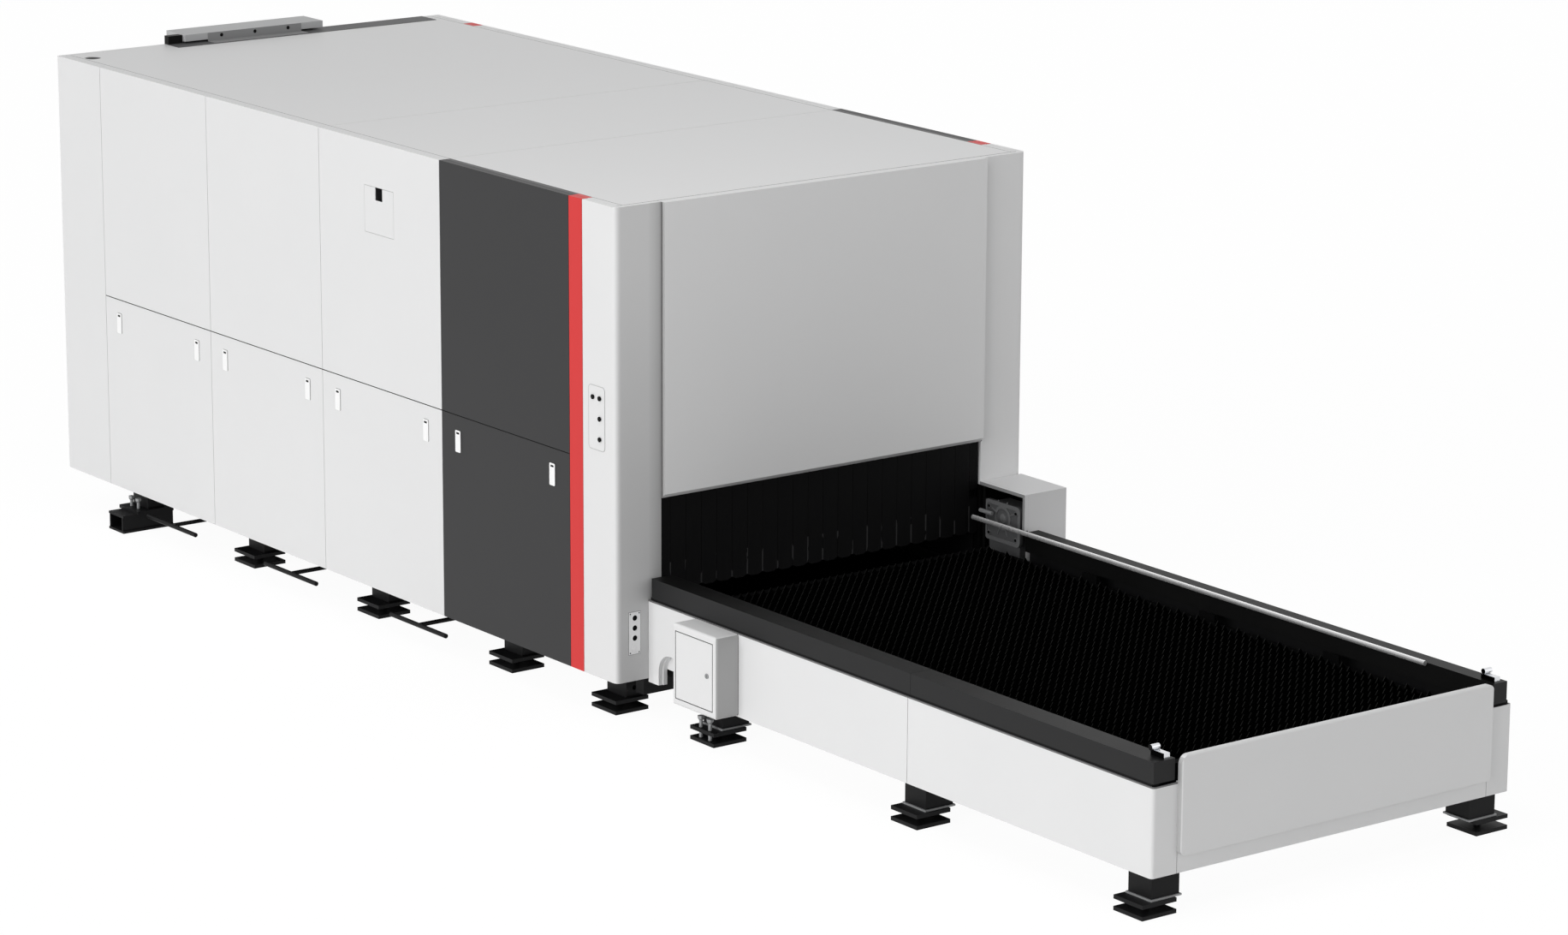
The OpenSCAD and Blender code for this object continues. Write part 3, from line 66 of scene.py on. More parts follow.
# White studio: a wide pale floor that fades into the backdrop, an even sky, one broad soft lamp on
# the operator's side, a weak one in front, so that the table's end lies in half shade, and a softbox
# above the table, so that the roof darkens towards the rear.
class Wire:
    """A socket in a node tree. Sums, products and comparisons of it add the nodes that work them out."""

    def __init__(self, tree, socket=None):
        self.tree = tree
        self.socket = socket

    def add(self, kind, settings=None, out=0, **sockets):
        """Adds any node, links or sets the sockets named, and gives the output asked for."""
        made = self.tree.nodes.new("ShaderNode" + kind)
        for key, value in (settings or {}).items():
            setattr(made, key, value)
        for key, value in sockets.items():
            socket = made.inputs[int(key[1:])] if key[1:].isdigit() else made.inputs[key.replace("_", " ")]
            if isinstance(value, Wire):
                self.tree.links.new(value.socket, socket)
            else:
                socket.default_value = value
        return Wire(self.tree, made.outputs[out])

    def calc(self, operation, **terms):
        return self.add("Math", {"operation": operation}, **terms)

    def __add__(self, other):
        return self.calc("ADD", i0=self, i1=other)

    def __mul__(self, other):
        return self.calc("MULTIPLY", i0=self, i1=other)

    def __or__(self, other):
        return self.calc("MAXIMUM", i0=self, i1=other)

    def __gt__(self, other):
        return self.calc("GREATER_THAN", i0=self, i1=other)

    def __lt__(self, other):
        return self.calc("LESS_THAN", i0=self, i1=other)

    def __abs__(self):
        return self.calc("ABSOLUTE", i0=self)


def seen_directly(w):
    """One where the camera or a mirror looks straight at the surface."""
    return w.add("LightPath", out="Is Camera Ray") | w.add("LightPath", out="Is Glossy Ray")


def end_tree(w, surface, output="ShaderNodeOutputMaterial"):
    w.tree.links.new(surface.socket, w.tree.nodes.new(output).inputs["Surface"])


floor_half, floor_grey, floor_glow, glow_share = 90, 0.88, 1.03, 0.93
floor_mesh = bpy.data.meshes.new("floor")
bm = bmesh.new()
bmesh.ops.create_grid(bm, x_segments=1, y_segments=1, size=floor_half)
bm.to_mesh(floor_mesh)
bm.free()
floor = bpy.data.objects.new("floor", floor_mesh)
bpy.context.scene.collection.objects.link(floor)
floor_white = bpy.data.materials.new("floor_white")
floor_white.use_nodes = True
floor_white.node_tree.nodes.clear()
w = Wire(floor_white.node_tree)
card = w.add("BsdfDiffuse", Color=(floor_grey, floor_grey, floor_grey, 1))
glow = w.add("Emission", Color=(1, 1, 1, 1), Strength=floor_glow)
end_tree(w, w.add("MixShader", i0=seen_directly(w) * glow_share, i1=card, i2=glow))
floor_mesh.materials.append(floor_white)

sky_light, sky_seen = 0.40, 1
sky = bpy.data.worlds.new("sky")
sky.use_nodes = True
sky.node_tree.nodes.clear()
w = Wire(sky.node_tree)
even = w.add("Background", Color=(1, 1, 1, 1), Strength=sky_light)
white = w.add("Background", Color=(1, 1, 1, 1), Strength=sky_seen)
end_tree(w, w.add("MixShader", i0=seen_directly(w), i1=even, i2=white), "ShaderNodeOutputWorld")
bpy.context.scene.world = sky

for name, energy, spread, towards in (("side_lamp", 1.86, 50, (0.02, -0.86, 0.20)),
                                      ("front_lamp", 0.36, 60, (0.85, 0.45, 0.28))):
    lamp = bpy.data.objects.new(name, bpy.data.lights.new(name, "SUN"))
    lamp.data.energy = energy
    lamp.data.angle = math.radians(spread)
    lamp.matrix_world = Vector(towards).to_track_quat("Z", "Y").to_matrix().to_4x4()
    bpy.context.scene.collection.objects.link(lamp)
softbox_watts, softbox_w, softbox_place = 100, 2, (3.0, -3.0, 8.0)
softbox = bpy.data.objects.new("softbox", bpy.data.lights.new("softbox", "AREA"))
softbox.data.energy = softbox_watts
softbox.data.size = softbox_w
softbox.location = softbox_place
bpy.context.scene.collection.objects.link(softbox)


# Welded bed, table frame, feet, slag drawers and pallet frames: mild steel tube and plate, blasted
# and rolled with a black satin enamel. The film is a little uneven.
def finish(name, nodes=()):
    """Makes a material with an empty tree and gives it to the nodes named."""
    made = bpy.data.materials.new(name)
    made.use_nodes = True
    made.node_tree.nodes.clear()
    for n in nodes:
        node[n].data.materials.clear()
        node[n].data.materials.append(made)
    return made, Wire(made.node_tree)


def close(w, **sockets):
    """Ends a tree with one surface shader."""
    end_tree(w, w.add("BsdfPrincipled", **sockets))


def place(w):
    return w.add("TexCoord", out="Object")


def along(w, axis):
    """The X, Y or Z value of the place on the piece, in metres."""
    return w.add("SeparateXYZ", out=axis, Vector=place(w))


def facing(w, axis):
    """How far the surface faces along an axis, from -1 to 1."""
    return w.add("SeparateXYZ", out=axis, Vector=w.add("TexCoord", out="Normal"))


def grain(w, scale, detail=2.0, stretch=None):
    """Fine noise in the piece's own metres, drawn out along an axis where stretch says so."""
    where = w.add("Mapping", Vector=place(w), Scale=stretch) if stretch else place(w)
    return w.add("TexNoise", Vector=where, Scale=scale, Detail=detail)


def clouds(w):
    """Broad unevenness of a paint film."""
    return grain(w, 2.3, 3.0)


def tones(w, amount, dark, light):
    """Goes from one tone to another. A tone is a number for grey, a colour or a wire."""
    ends = [c if isinstance(c, Wire) else (*c, 1) if isinstance(c, tuple) else (c, c, c, 1)
            for c in (dark, light)]
    return w.add("Mix", {"data_type": "RGBA"}, out=2, i0=amount, i6=ends[0], i7=ends[1])


def painted(w, tone, rough=0.42, peel=0.05, gloss=0.4):
    """Ends a tree with paint of a tone: clouded gloss and an orange peel."""
    bump = w.add("Bump", Height=grain(w, 260, 1.0), Strength=peel, Distance=0.0006)
    close(w, Base_Color=tone, Roughness=clouds(w) * 0.12 + rough, Specular_IOR_Level=gloss, Normal=bump)


def enamel(name, dark, light, nodes=(), rough=0.42, peel=0.10, gloss=0.4, shaded_sides=None):
    """Rolled or sprayed paint: clouded tone, fine specks, and painted shade across an axis if asked."""
    made, w = finish(name, nodes)
    tone = tones(w, clouds(w) * 0.8 + grain(w, 140, 1.0) * 0.2, dark, light)
    # Painted shade: faces across the axis take the greyer tone.
    if shaded_sides:
        axis, shade_tone = shaded_sides
        tone = tones(w, abs(facing(w, axis)) > 0.7, tone, shade_tone)
    painted(w, tone, rough, peel, gloss)
    return made


enamel("black_enamel", (0.0050, 0.0050, 0.0054), (0.0090, 0.0090, 0.0094),
       ("bed_frame", "fork_tube", "levelling_pads", "table_frame", "slag_drawer_1", "slag_drawer_2",
        "slag_drawer_3"), gloss=0.12)
enamel("pallet_black", (0.0018, 0.0018, 0.0019), (0.0034, 0.0034, 0.0035),
       ("pallet_a_frame", "pallet_b_frame"), rough=0.6, gloss=0.02)


# Jack bolts: zinc-plated hexagon bolts that stand in the plates of the rear feet and of the table's
# first feet, turned down on to the plate below to lift the machine.
def piece(name, bm, body, made):
    """Turns a finished mesh into a piece that rides on a body."""
    mesh = bpy.data.meshes.new(name)
    bm.to_mesh(mesh)
    bm.free()
    built = bpy.data.objects.new(name, mesh)
    bpy.context.scene.collection.objects.link(built)
    mesh.materials.append(made)
    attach(built, body)
    return built


def put(bm, made, centre, axis):
    """Turns new vertices from +Z to an axis and moves them to their place."""
    spin = Vector((0, 0, 1)).rotation_difference(Vector(axis)).to_matrix()
    bmesh.ops.rotate(bm, verts=made, cent=(0, 0, 0), matrix=spin)
    bmesh.ops.translate(bm, verts=made, vec=centre)


def turned(bm, profile, centre, axis, steps=24):
    """Adds a turned shape: a profile of radius and height, spun round an axis through its centre."""
    before = set(bm.verts)
    points = [bm.verts.new((r, 0, h)) for r, h in profile]
    edges = [bm.edges.new(pair) for pair in zip(points, points[1:])]
    bmesh.ops.spin(bm, geom=points + edges, cent=(0, 0, 0), axis=(0, 0, 1), angle=math.tau, steps=steps,
                   use_merge=True)
    bmesh.ops.remove_doubles(bm, verts=[v for v in bm.verts if v not in before], dist=1e-6)
    made = [v for v in bm.verts if v not in before]
    bmesh.ops.recalc_face_normals(bm, faces=list({f for v in made for f in v.link_faces}))
    put(bm, made, centre, axis)


def hexagon(bm, centre, axis, across, height):
    """Adds a hexagon head with its top edges chamfered."""
    made = bmesh.ops.create_cone(bm, cap_ends=True, segments=6, radius1=across / math.sqrt(3),
                                 radius2=across / math.sqrt(3), depth=height)["verts"]
    top = [e for e in {e for v in made for e in v.link_edges} if min(v.co.z for v in e.verts) > 0]
    bevelled = bmesh.ops.bevel(bm, geom=top, offset=height * 0.18, segments=2, profile=0.5, affect="EDGES",
                               material=-1)
    put(bm, list(set(bevelled["verts"]) | {v for v in made if v.is_valid}), centre, axis)


def metal(name, dark, light, metallic, rough_gain, rough, scale, detail=2.0, stretch=None, nodes=()):
    """Plated or brushed metal, whose tone and gloss follow one fine haze."""
    made, w = finish(name, nodes)
    haze = grain(w, scale, detail, stretch)
    close(w, Base_Color=tones(w, haze, dark, light), Metallic=metallic, Roughness=haze * rough_gain + rough)
    return made


zinc = metal("zinc_plate", (0.24, 0.245, 0.25), (0.36, 0.365, 0.37), 0.3, 0.25, 0.35, 160, 3.0)
front_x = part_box("front_corner_near")[1].x
tube_low, tube_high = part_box("fork_tube")
table_foot_in, foot_plate_t = 0.436, 0.017
rear_bolt_y, rear_bolt_sunk, rear_head_up = 1.136, 0.004, 0.058
table_bolt_y, table_head_z = 0.981, 0.106
rear_bolts = ((tube_low.x + tube_high.x) / 2, rear_bolt_y, tube_high.z + foot_plate_t - rear_bolt_sunk,
              tube_high.z + rear_head_up)
table_bolts = (front_x + table_foot_in, table_bolt_y, foot_plate_t, table_head_z)
bolt_r, bolt_across, bolt_head_h, bolt_half_pitch = 0.0085, 0.029, 0.011, 0.034
collar_r, collar_h, cone_h, tip_r, tip_h = bolt_across * 0.46, 0.004, 0.006, bolt_r * 0.8, 0.002
bm = bmesh.new()
for foot_x, foot_y, foot_z, head_z in (rear_bolts, table_bolts):
    shank = head_z - foot_z
    profile = ((0, 0), (tip_r, 0), (bolt_r, tip_h), (bolt_r, shank - collar_h - cone_h),
               (collar_r, shank - collar_h), (collar_r, shank), (0, shank))
    for x in (foot_x - bolt_half_pitch, foot_x + bolt_half_pitch):
        for y in (-foot_y, foot_y):
            turned(bm, profile, (x, y, foot_z), (0, 0, 1), 16)
            hexagon(bm, (x, y, head_z + bolt_head_h / 2), (0, 0, 1), bolt_across, bolt_head_h)
piece("jack_bolts", bm, "machine", zinc)


# Table foot flanges: flame-cut plate under the foot posts, which stands on the foot plates. Their
# edges were left bare when the posts were painted.
def slab(bm, low, high, soft):
    """Adds a block with softened edges."""
    low, high = Vector(low), Vector(high)
    made = bmesh.ops.create_cube(bm, size=1)["verts"]
    bmesh.ops.scale(bm, verts=made, vec=high - low)
    bmesh.ops.translate(bm, verts=made, vec=(low + high) / 2)
    edges = list({e for v in made for e in v.link_edges})
    bmesh.ops.bevel(bm, geom=edges, offset=soft, segments=2, profile=0.5, affect="EDGES", material=-1)


flange, flange_mid_z, flange_soft = Vector((0.1556, 0.1596, 0.0080)), 0.0692, 0.0003
table_foot_y, end_foot_in = 0.868, 0.110
first_foot_x, last_foot_x = front_x + table_foot_in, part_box("end_skirt")[1].x - end_foot_in
bm = bmesh.new()
for x in (first_foot_x, (first_foot_x + last_foot_x) / 2, last_foot_x):
    for y in (-table_foot_y, table_foot_y):
        middle = Vector((x, y, flange_mid_z))
        slab(bm, middle - flange / 2, middle + flange / 2, flange_soft)
piece("foot_flange_edges", bm, "machine", zinc)

# Slats: laser-cut sheet steel, left bare. The flat faces are black with spatter, and only the cut
# edges at the tips of the teeth, which the sheets rub, are a little brighter.
_, w = finish("slat_steel", ("pallet_a_slats", "pallet_b_slats"))
spatter = grain(w, 55, 4.0)
tip_a, tip_b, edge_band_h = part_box("pallet_a_slats")[1].z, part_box("pallet_b_slats")[1].z, 0.020
z = along(w, "Z")
edge_band = (z > tip_a - edge_band_h) + (z > tip_b - edge_band_h) * (z < tip_b + edge_band_h)
sheet = tones(w, spatter, 0.0010, 0.0020)
cut = tones(w, spatter, 0.002, (0.030, 0.030, 0.029))
close(w, Base_Color=tones(w, (abs(facing(w, "X")) < 0.5) * edge_band, sheet, cut), Roughness=spatter * 0.3 + 0.5,
      Specular_IOR_Level=0.0, Normal=w.add("Bump", Height=grain(w, 420), Strength=0.25, Distance=0.0006))

# Machined running gear: guide rails, racks, carriage, axles, wheels, chain and chain wheels, ground
# or turned steel with fine tool marks along the piece.
_, w = finish("ground_steel", (
    "x_guides", "y_carriage", "drive_sprocket", "idler_sprocket", "drive_chain", "pallet_a_wheels_front",
    "pallet_a_wheels_rear", "pallet_b_wheels_front", "pallet_b_wheels_rear"))
marks = grain(w, 60, 3.0, (1, 1, 14))
close(w, Base_Color=tones(w, marks, (0.30, 0.31, 0.32), (0.46, 0.47, 0.48)), Metallic=1.0,
      Roughness=marks * 0.2 + 0.28, Normal=w.add("Bump", Height=marks, Strength=0.08, Distance=0.0004))

# Gantry and cabin frame: square tube and a boxed beam under light grey powder coat, and the dark
# head. They are seen only through an opened door or the lifted curtain.
enamel("frame_grey", (0.36, 0.37, 0.38), (0.43, 0.44, 0.45), ("enclosure_frame", "gantry_beam"))
enamel("head_black", (0.016, 0.016, 0.017), (0.026, 0.026, 0.027), ("cutting_head",), rough=0.3)

# Table rails: rectangular tube under dark enamel, with a plain butt joint half way. The tops and the
# faces towards the pallets are painted near-black as shade.
_, w = finish("rail_enamel", ("near_rail", "far_rail"))
side = tones(w, clouds(w), (0.0165, 0.0165, 0.017), (0.0205, 0.0205, 0.021))
# Painted shade: the tops and the inward faces are near-black.
rail_shade = tones(w, clouds(w), 0.0012, 0.0024)
across, y = facing(w, "Y"), along(w, "Y")
inward = (across < -0.8) * (y > 0) + (across > 0.8) * (y < 0)
painted(w, tones(w, (facing(w, "Z") > 0.8) | inward, side, rail_shade), gloss=0.14)

# Bright fittings: drawn guide bar on the far rail, with a painted highlight along its top and painted
# shade on its lower faces, and the pallet stops at the rails' ends, plated blocks near-black towards -Y.
_, w = finish("bright_bar", ("guide_bar",))
haze, upward = grain(w, 35), facing(w, "Z")
# Painted highlight along the top, and painted shade on the sides and underside.
painted_light_bands = tones(w, upward > 0.45, (0.38, 0.38, 0.382), (0.52, 0.52, 0.522))
close(w, Base_Color=tones(w, upward > 0.80, painted_light_bands, 0.94), Metallic=0.4, Roughness=haze * 0.12 + 0.22)
_, w = finish("bright_chrome", ("rail_stops",))
haze = grain(w, 35)
plated = tones(w, haze, (0.66, 0.67, 0.69), (0.78, 0.79, 0.81))
# The faces towards -Y are coloured near-black.
close(w, Base_Color=tones(w, facing(w, "Y") < -0.7, plated, 0.006), Metallic=0.9,
      Roughness=haze * 0.12 + 0.14)

# Cabin and table panels: folded sheet, powder coated in a cool white with a fine orange peel, two
# columns in dark grey and thin strips in red. The covers' flanks and the cabinet's sides get painted shade.
white_tones = (0.770, 0.772, 0.775), (0.802, 0.802, 0.803)
dark_tones = (0.031, 0.031, 0.032), (0.036, 0.036, 0.037)
red_tones = (0.64, 0.031, 0.031), (0.69, 0.036, 0.036)
white_gloss = {"rough": 0.40, "peel": 0.05}
enamel("white_coat", *white_tones, (
    "far_skirts", "end_skirt", "cabinet_door", "rear_corners", "front_corner_far", "side_panels",
    "access_door_1", "access_door_2", "access_door_3", "inspection_hatch", "button_plate", "rear_wall",
    "rear_door"), **white_gloss)
# Painted shade on the covers' faces across Y and on the cabinet's faces across X.
enamel("cover_coat", *white_tones, ("front_cover", "end_cover"), shaded_sides=("Y", 0.52), **white_gloss)
enamel("cabinet_coat", *white_tones, ("cabinet_box",), shaded_sides=("X", 0.42), **white_gloss)
enamel("dark_coat", *dark_tones, ("dark_panels", "access_door_4"), peel=0.05, gloss=0.2)
enamel("red_coat", *red_tones, ("accent_strips",), peel=0.05, gloss=0.3)

# Near table skirts: the same white sheet with folded lips, and a grey line of painted shade along
# the top edge, where the fold lies in the rail's shade.
_, w = finish("skirt_coat", ("near_skirt_rear", "near_skirt_front"))
edge_band_h, fold_shade_tone = 0.0065, (0.15, 0.15, 0.152)
# Painted shade: a grey band along the top edge.
edge_band = along(w, "Z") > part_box("near_skirt_rear")[1].z - edge_band_h
painted(w, tones(w, edge_band, tones(w, clouds(w), *white_tones), fold_shade_tone), **white_gloss)

# Near front corner: the same white sheet, folded to an angle with closed ends. Shade is painted on
# its face beside the cover and towards the bottom.
_, w = finish("corner_coat", ("front_corner_near",))
low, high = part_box("front_corner_near")
beside_w, unshaded_z, shaded_z = 0.07, high.z - 0.3, low.z + 0.4
shade_low, shade_high, shade_beside = 0.31, 0.14, 0.22
beside = w.add("MapRange", Value=along(w, "Y"), From_Min=high.y - beside_w, From_Max=high.y)
down = w.add("MapRange", Value=along(w, "Z"), From_Min=unshaded_z, From_Max=shaded_z)
front = w.add("MapRange", Value=facing(w, "X"), From_Min=0.5, From_Max=0.95)
# Painted shade: darker beside the cover and towards the bottom.
corner_shade = front * (down * (shade_low - shade_high) + shade_high + beside * shade_beside)
painted(w, tones(w, corner_shade, tones(w, clouds(w), *white_tones), 0.0), **white_gloss)

# Roof: folded sheet. The side panels' top folds lie on it as a coloured margin, with a dark joint
# along each fold and along the front edge.
_, w = finish("roof_coat", ("roof_panels",))
roof_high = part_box("roof_panels")[1]
dark_low, dark_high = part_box("dark_panels")
red_low, red_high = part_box("accent_strips")
rear_red_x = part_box("rear_corners")[1].x
fold_w, joint_w, joint_tone = 0.0595, 0.0035, (0.10, 0.10, 0.102)
fold_y = red_high.y - fold_w
x, y = along(w, "X"), along(w, "Y")
fold = abs(y) > fold_y
in_dark = (x > dark_low.x) * (x < dark_high.x) * fold
front_red = (x > dark_high.x) * (x < red_high.x)
rear_red = (x < rear_red_x) * (x > red_low.x) * (y > 0)
joint = (abs(y) > fold_y - joint_w) * (abs(y) < fold_y) | (x > roof_high.x - joint_w)
coat = tones(w, in_dark, tones(w, clouds(w), *white_tones), dark_tones[0])
coat = tones(w, (front_red + rear_red) * fold, coat, red_tones[0])
painted(w, tones(w, joint, coat, joint_tone), **white_gloss)


# Latches of the access doors: each is a bright enamelled plate with a painted shadow, a dark grey
# border on its right and top, and a keyway near its top whose shade is painted as a black plate.
def plate(bm, low, high, face_y, thick, radius, rim=0.0):
    """Adds a plate with round corners that faces -Y, or only its rim where a width is given."""
    made = bmesh.new()
    bmesh.ops.create_grid(made, x_segments=1, y_segments=1, size=0.5)
    bmesh.ops.scale(made, verts=list(made.verts), vec=(high[0] - low[0], high[1] - low[1], 1))
    bmesh.ops.bevel(made, geom=list(made.verts), offset=radius, segments=5, profile=0.5, affect="VERTICES",
                    material=-1)
    if rim:
        ring = bmesh.ops.inset_region(made, faces=list(made.faces), thickness=rim, use_boundary=True)["faces"]
        bmesh.ops.delete(made, geom=[f for f in made.faces if f not in ring], context="FACES")
    bmesh.ops.solidify(made, geom=list(made.faces), thickness=thick)
    bmesh.ops.recalc_face_normals(made, faces=list(made.faces))
    front = max(v.co.z for v in made.verts)
    centre = ((low[0] + high[0]) / 2, face_y + front, (low[1] + high[1]) / 2)
    put(made, list(made.verts), centre, (0, -1, 0))
    shape = bpy.data.meshes.new("plate")
    made.to_mesh(shape)
    made.free()
    bm.from_mesh(shape)
    bpy.data.meshes.remove(shape)


def rubber(name, dark, light):
    """Matt rubber with a light bloom."""
    made, w = finish(name)
    bloom = grain(w, 90, 3.0)
    close(w, Base_Color=tones(w, bloom, dark, light), Roughness=bloom * 0.2 + 0.6, Specular_IOR_Level=0.2)
    return made


def plastic(name, rough, nodes=()):
    """Black moulded plastic, a little worn."""
    made, w = finish(name, nodes)
    wear = grain(w, 300)
    close(w, Base_Color=tones(w, wear, 0.0015, 0.0035), Roughness=wear * 0.15 + rough,
          Specular_IOR_Level=0.05)
    return made


gasket_and_shadow_grey = rubber("gasket_and_shadow_grey", 0.10, 0.15)
latch_white = enamel("latch_white", 0.96, 0.98, peel=0.05)
black_plastic = plastic("black_plastic", 0.35)
side_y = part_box("side_panels")[0].y
latch_inset, latch_drop, latch_w, latch_h, latch_r = 0.1335, 0.0675, 0.0424, 0.1024, 0.0056
keyway_drop, keyway_w, keyway_h, keyway_r = 0.0085, 0.023, 0.0090, 0.002
skin_t, border_w = 0.0004, 0.0014
doors = [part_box("access_door_%d" % i) for i in (1, 2, 3, 4)]
for i, (low, high) in enumerate(doors, 1):
    top = high.z - latch_drop
    foot, key_top = top - latch_h, top - keyway_drop
    faces, shadow_lines, keyway_shades = bmesh.new(), bmesh.new(), bmesh.new()
    for x in (low.x + latch_inset, high.x - latch_inset):
        x0, x1 = x - latch_w / 2, x + latch_w / 2
        plate(faces, (x0, foot), (x1, top), low.y - skin_t, skin_t * 2, latch_r)
        # Painted shadow: a dark grey border showing on each latch's right and top.
        plate(shadow_lines, (x0, foot), (x1 + border_w, top + border_w), side_y - skin_t * 2, skin_t * 3, latch_r)
        # Painted shade: a black plate for the keyway's dark inside.
        plate(keyway_shades, (x - keyway_w / 2, key_top - keyway_h), (x + keyway_w / 2, key_top),
              low.y - skin_t * 2, skin_t, keyway_r)
    door = "side_door_%d" % i
    piece("latch_faces_%d" % i, faces, door, latch_white)
    piece("latch_gaskets_%d" % i, shadow_lines, door, gasket_and_shadow_grey)
    piece("latch_keyways_%d" % i, keyway_shades, door, black_plastic)

# Door head seal: a black moulded strip, set in the joint between the access doors and the panels
# above them.
seal_low, seal_high, seal_soft = Vector((0, -0.0002, 0.0002)), Vector((0, 0.0060, 0.0046)), 0.0003
door_top = doors[0][1].z
bm = bmesh.new()
slab(bm, Vector((min(b[0].x for b in doors), side_y, door_top)) + seal_low,
     Vector((max(b[1].x for b in doors), side_y, door_top)) + seal_high, seal_soft)
piece("door_head_seal", bm, "machine", black_plastic)

# Connection plate on the near front corner: a thin brushed plate on a gasket, with three round
# sockets, a blanked fourth place and a small screw in each corner.
brushed_plate = metal("brushed_plate", (0.76, 0.76, 0.765), (0.88, 0.88, 0.885), 0.2, 0.2, 0.30, 40, 3.0,
                      (1, 12, 1))
plate_t, plate_soft = 0.002, 0.0006
plate_low, plate_high = Vector((front_x, -1.084, 0.315)), Vector((front_x + plate_t, -1.022, 0.508))
plate_y = (plate_low.y + plate_high.y) / 2
sockets_z, blank_z = (0.481, 0.435, 0.389), 0.345
socket_r, ring_r, ring_h, blank_h, recess_h = 0.0125, 0.0147, 0.0014, 0.0006, 0.0004
ring = ((ring_r, 0), (ring_r - 0.0006, ring_h - 0.0002), (socket_r, ring_h), (socket_r, 0))
bm = bmesh.new()
slab(bm, plate_low, plate_high, plate_soft)
for z in (*sockets_z, blank_z):
    turned(bm, ring, (plate_high.x, plate_y, z), (1, 0, 0))
turned(bm, ((0, blank_h), (socket_r, blank_h), (socket_r, 0)), (plate_high.x, plate_y, blank_z), (1, 0, 0))
piece("connection_plate", bm, "machine", brushed_plate)
backing_w, backing_t, backing_soft = 0.0016, 0.0008, 0.0002
bm = bmesh.new()
slab(bm, (front_x, plate_low.y - backing_w, plate_low.z - backing_w),
     (front_x + backing_t, plate_high.y + backing_w, plate_high.z + backing_w), backing_soft)
piece("connection_gasket", bm, "machine", gasket_and_shadow_grey)
screw_in, screw_r, screw_h = 0.007, 0.0032, 0.0014
screw = ((0, screw_h), (screw_r * 0.6, screw_h - 0.0002), (screw_r, 0.0003), (screw_r, 0))
bm = bmesh.new()
for z in sockets_z:
    turned(bm, ((0, recess_h), (socket_r, recess_h), (socket_r, 0)), (plate_high.x, plate_y, z), (1, 0, 0))
for y in (plate_low.y + screw_in, plate_high.y - screw_in):
    for z in (plate_low.z + screw_in, plate_high.z - screw_in):
        turned(bm, screw, (plate_high.x, y, z), (1, 0, 0), 12)
piece("connection_sockets", bm, "machine", black_plastic)

# Front cover's seal: grey rubber that fills the joint between the cover and the two front corners,
# from the cover's top to its foot.
low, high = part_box("front_cover")
seal_w, seal_back, seal_front, seal_end, seal_soft = 0.0022, 0.004, 0.009, 0.001, 0.0006
bm = bmesh.new()
for y0 in (low.y - seal_w, high.y):
    slab(bm, (front_x - seal_back, y0, low.z + seal_end),
         (front_x + seal_front, y0 + seal_w, high.z - seal_end), seal_soft)
piece("cover_seal", bm, "machine", rubber("cover_rubber", 0.17, 0.23))

# Strip curtain: black soft plastic strips that hang side by side under the front cover, each a
# little bowed, with rounded lower corners and edges worn pale near the foot.
made, w = finish("curtain_black")
low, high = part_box("strip_curtain")
strip_w, strip_gap, strip_t = 0.085, 0.0015, 0.003
edge_w, worn_h, worn_from = 0.0035, 0.13, 0.47
wipe = grain(w, 9, 3.0, (1, 6, 1))
near_edge = w.calc("PINGPONG", i0=along(w, "Y"), i1=strip_w / 2) < edge_w
worn = near_edge * (along(w, "Z") < low.z + worn_h) * (grain(w, 30, 1.0, (1, 1, 0.4)) > worn_from)
black = tones(w, wipe, (0.0022, 0.0022, 0.0024), (0.0048, 0.0048, 0.0050))
close(w, Base_Color=tones(w, worn, black, (0.045, 0.045, 0.046)), Roughness=wipe * 0.25 + 0.5,
      Specular_IOR_Level=0.06, Normal=w.add("Bump", Height=wipe, Strength=0.2, Distance=0.002))
strips_each_side = math.ceil(high.y / strip_w)
bow_depth, bow_step, bow_wave, cup_depth, corner_rise = 0.0006, 2.1, 3.1, 0.0005, 0.010
bm = bmesh.new()
for i in range(-strips_each_side, strips_each_side):
    y0 = max(low.y, i * strip_w + strip_gap / 2)
    y1 = min(high.y, (i + 1) * strip_w - strip_gap / 2)
    bow = bow_depth * math.sin(i * bow_step)
    for v in bmesh.ops.create_grid(bm, x_segments=4, y_segments=12, size=0.5)["verts"]:
        across, down = v.co.x, 0.5 - v.co.y
        round_off = corner_rise * max(0, abs(across) * 4 - 1) ** 3 if down > 0.99 else 0
        x = (low.x + high.x) / 2 + bow * math.sin(down * bow_wave) * down - cup_depth * (2 * across) ** 2
        v.co = (x, y0 + (across + 0.5) * (y1 - y0), high.z + (low.z - high.z) * down + round_off)
bmesh.ops.solidify(bm, geom=list(bm.faces), thickness=strip_t)
bmesh.ops.recalc_face_normals(bm, faces=list(bm.faces))
curtain = piece("curtain_strips", bm, "machine", made)
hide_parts("strip_curtain")

# Button plate: a thin white plate, set in a pale rubber gasket, with four black moulded caps that
# press in.
low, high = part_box("button_plate")
border_w, gasket_r, gasket_t, gasket_gap, gasket_proud = 0.0030, 0.0190, 0.0022, 0.0002, 0.0001
bm = bmesh.new()
plate(bm, (low.x - border_w, low.z - border_w), (high.x + border_w, high.z + border_w), low.y - gasket_proud,
      gasket_t, gasket_r, border_w - gasket_gap)
piece("button_gasket", bm, "machine", rubber("pale_gasket", 0.48, 0.56))
plastic("button_black", 0.22, ("push_button_1", "push_button_2", "push_button_3", "push_button_4"))

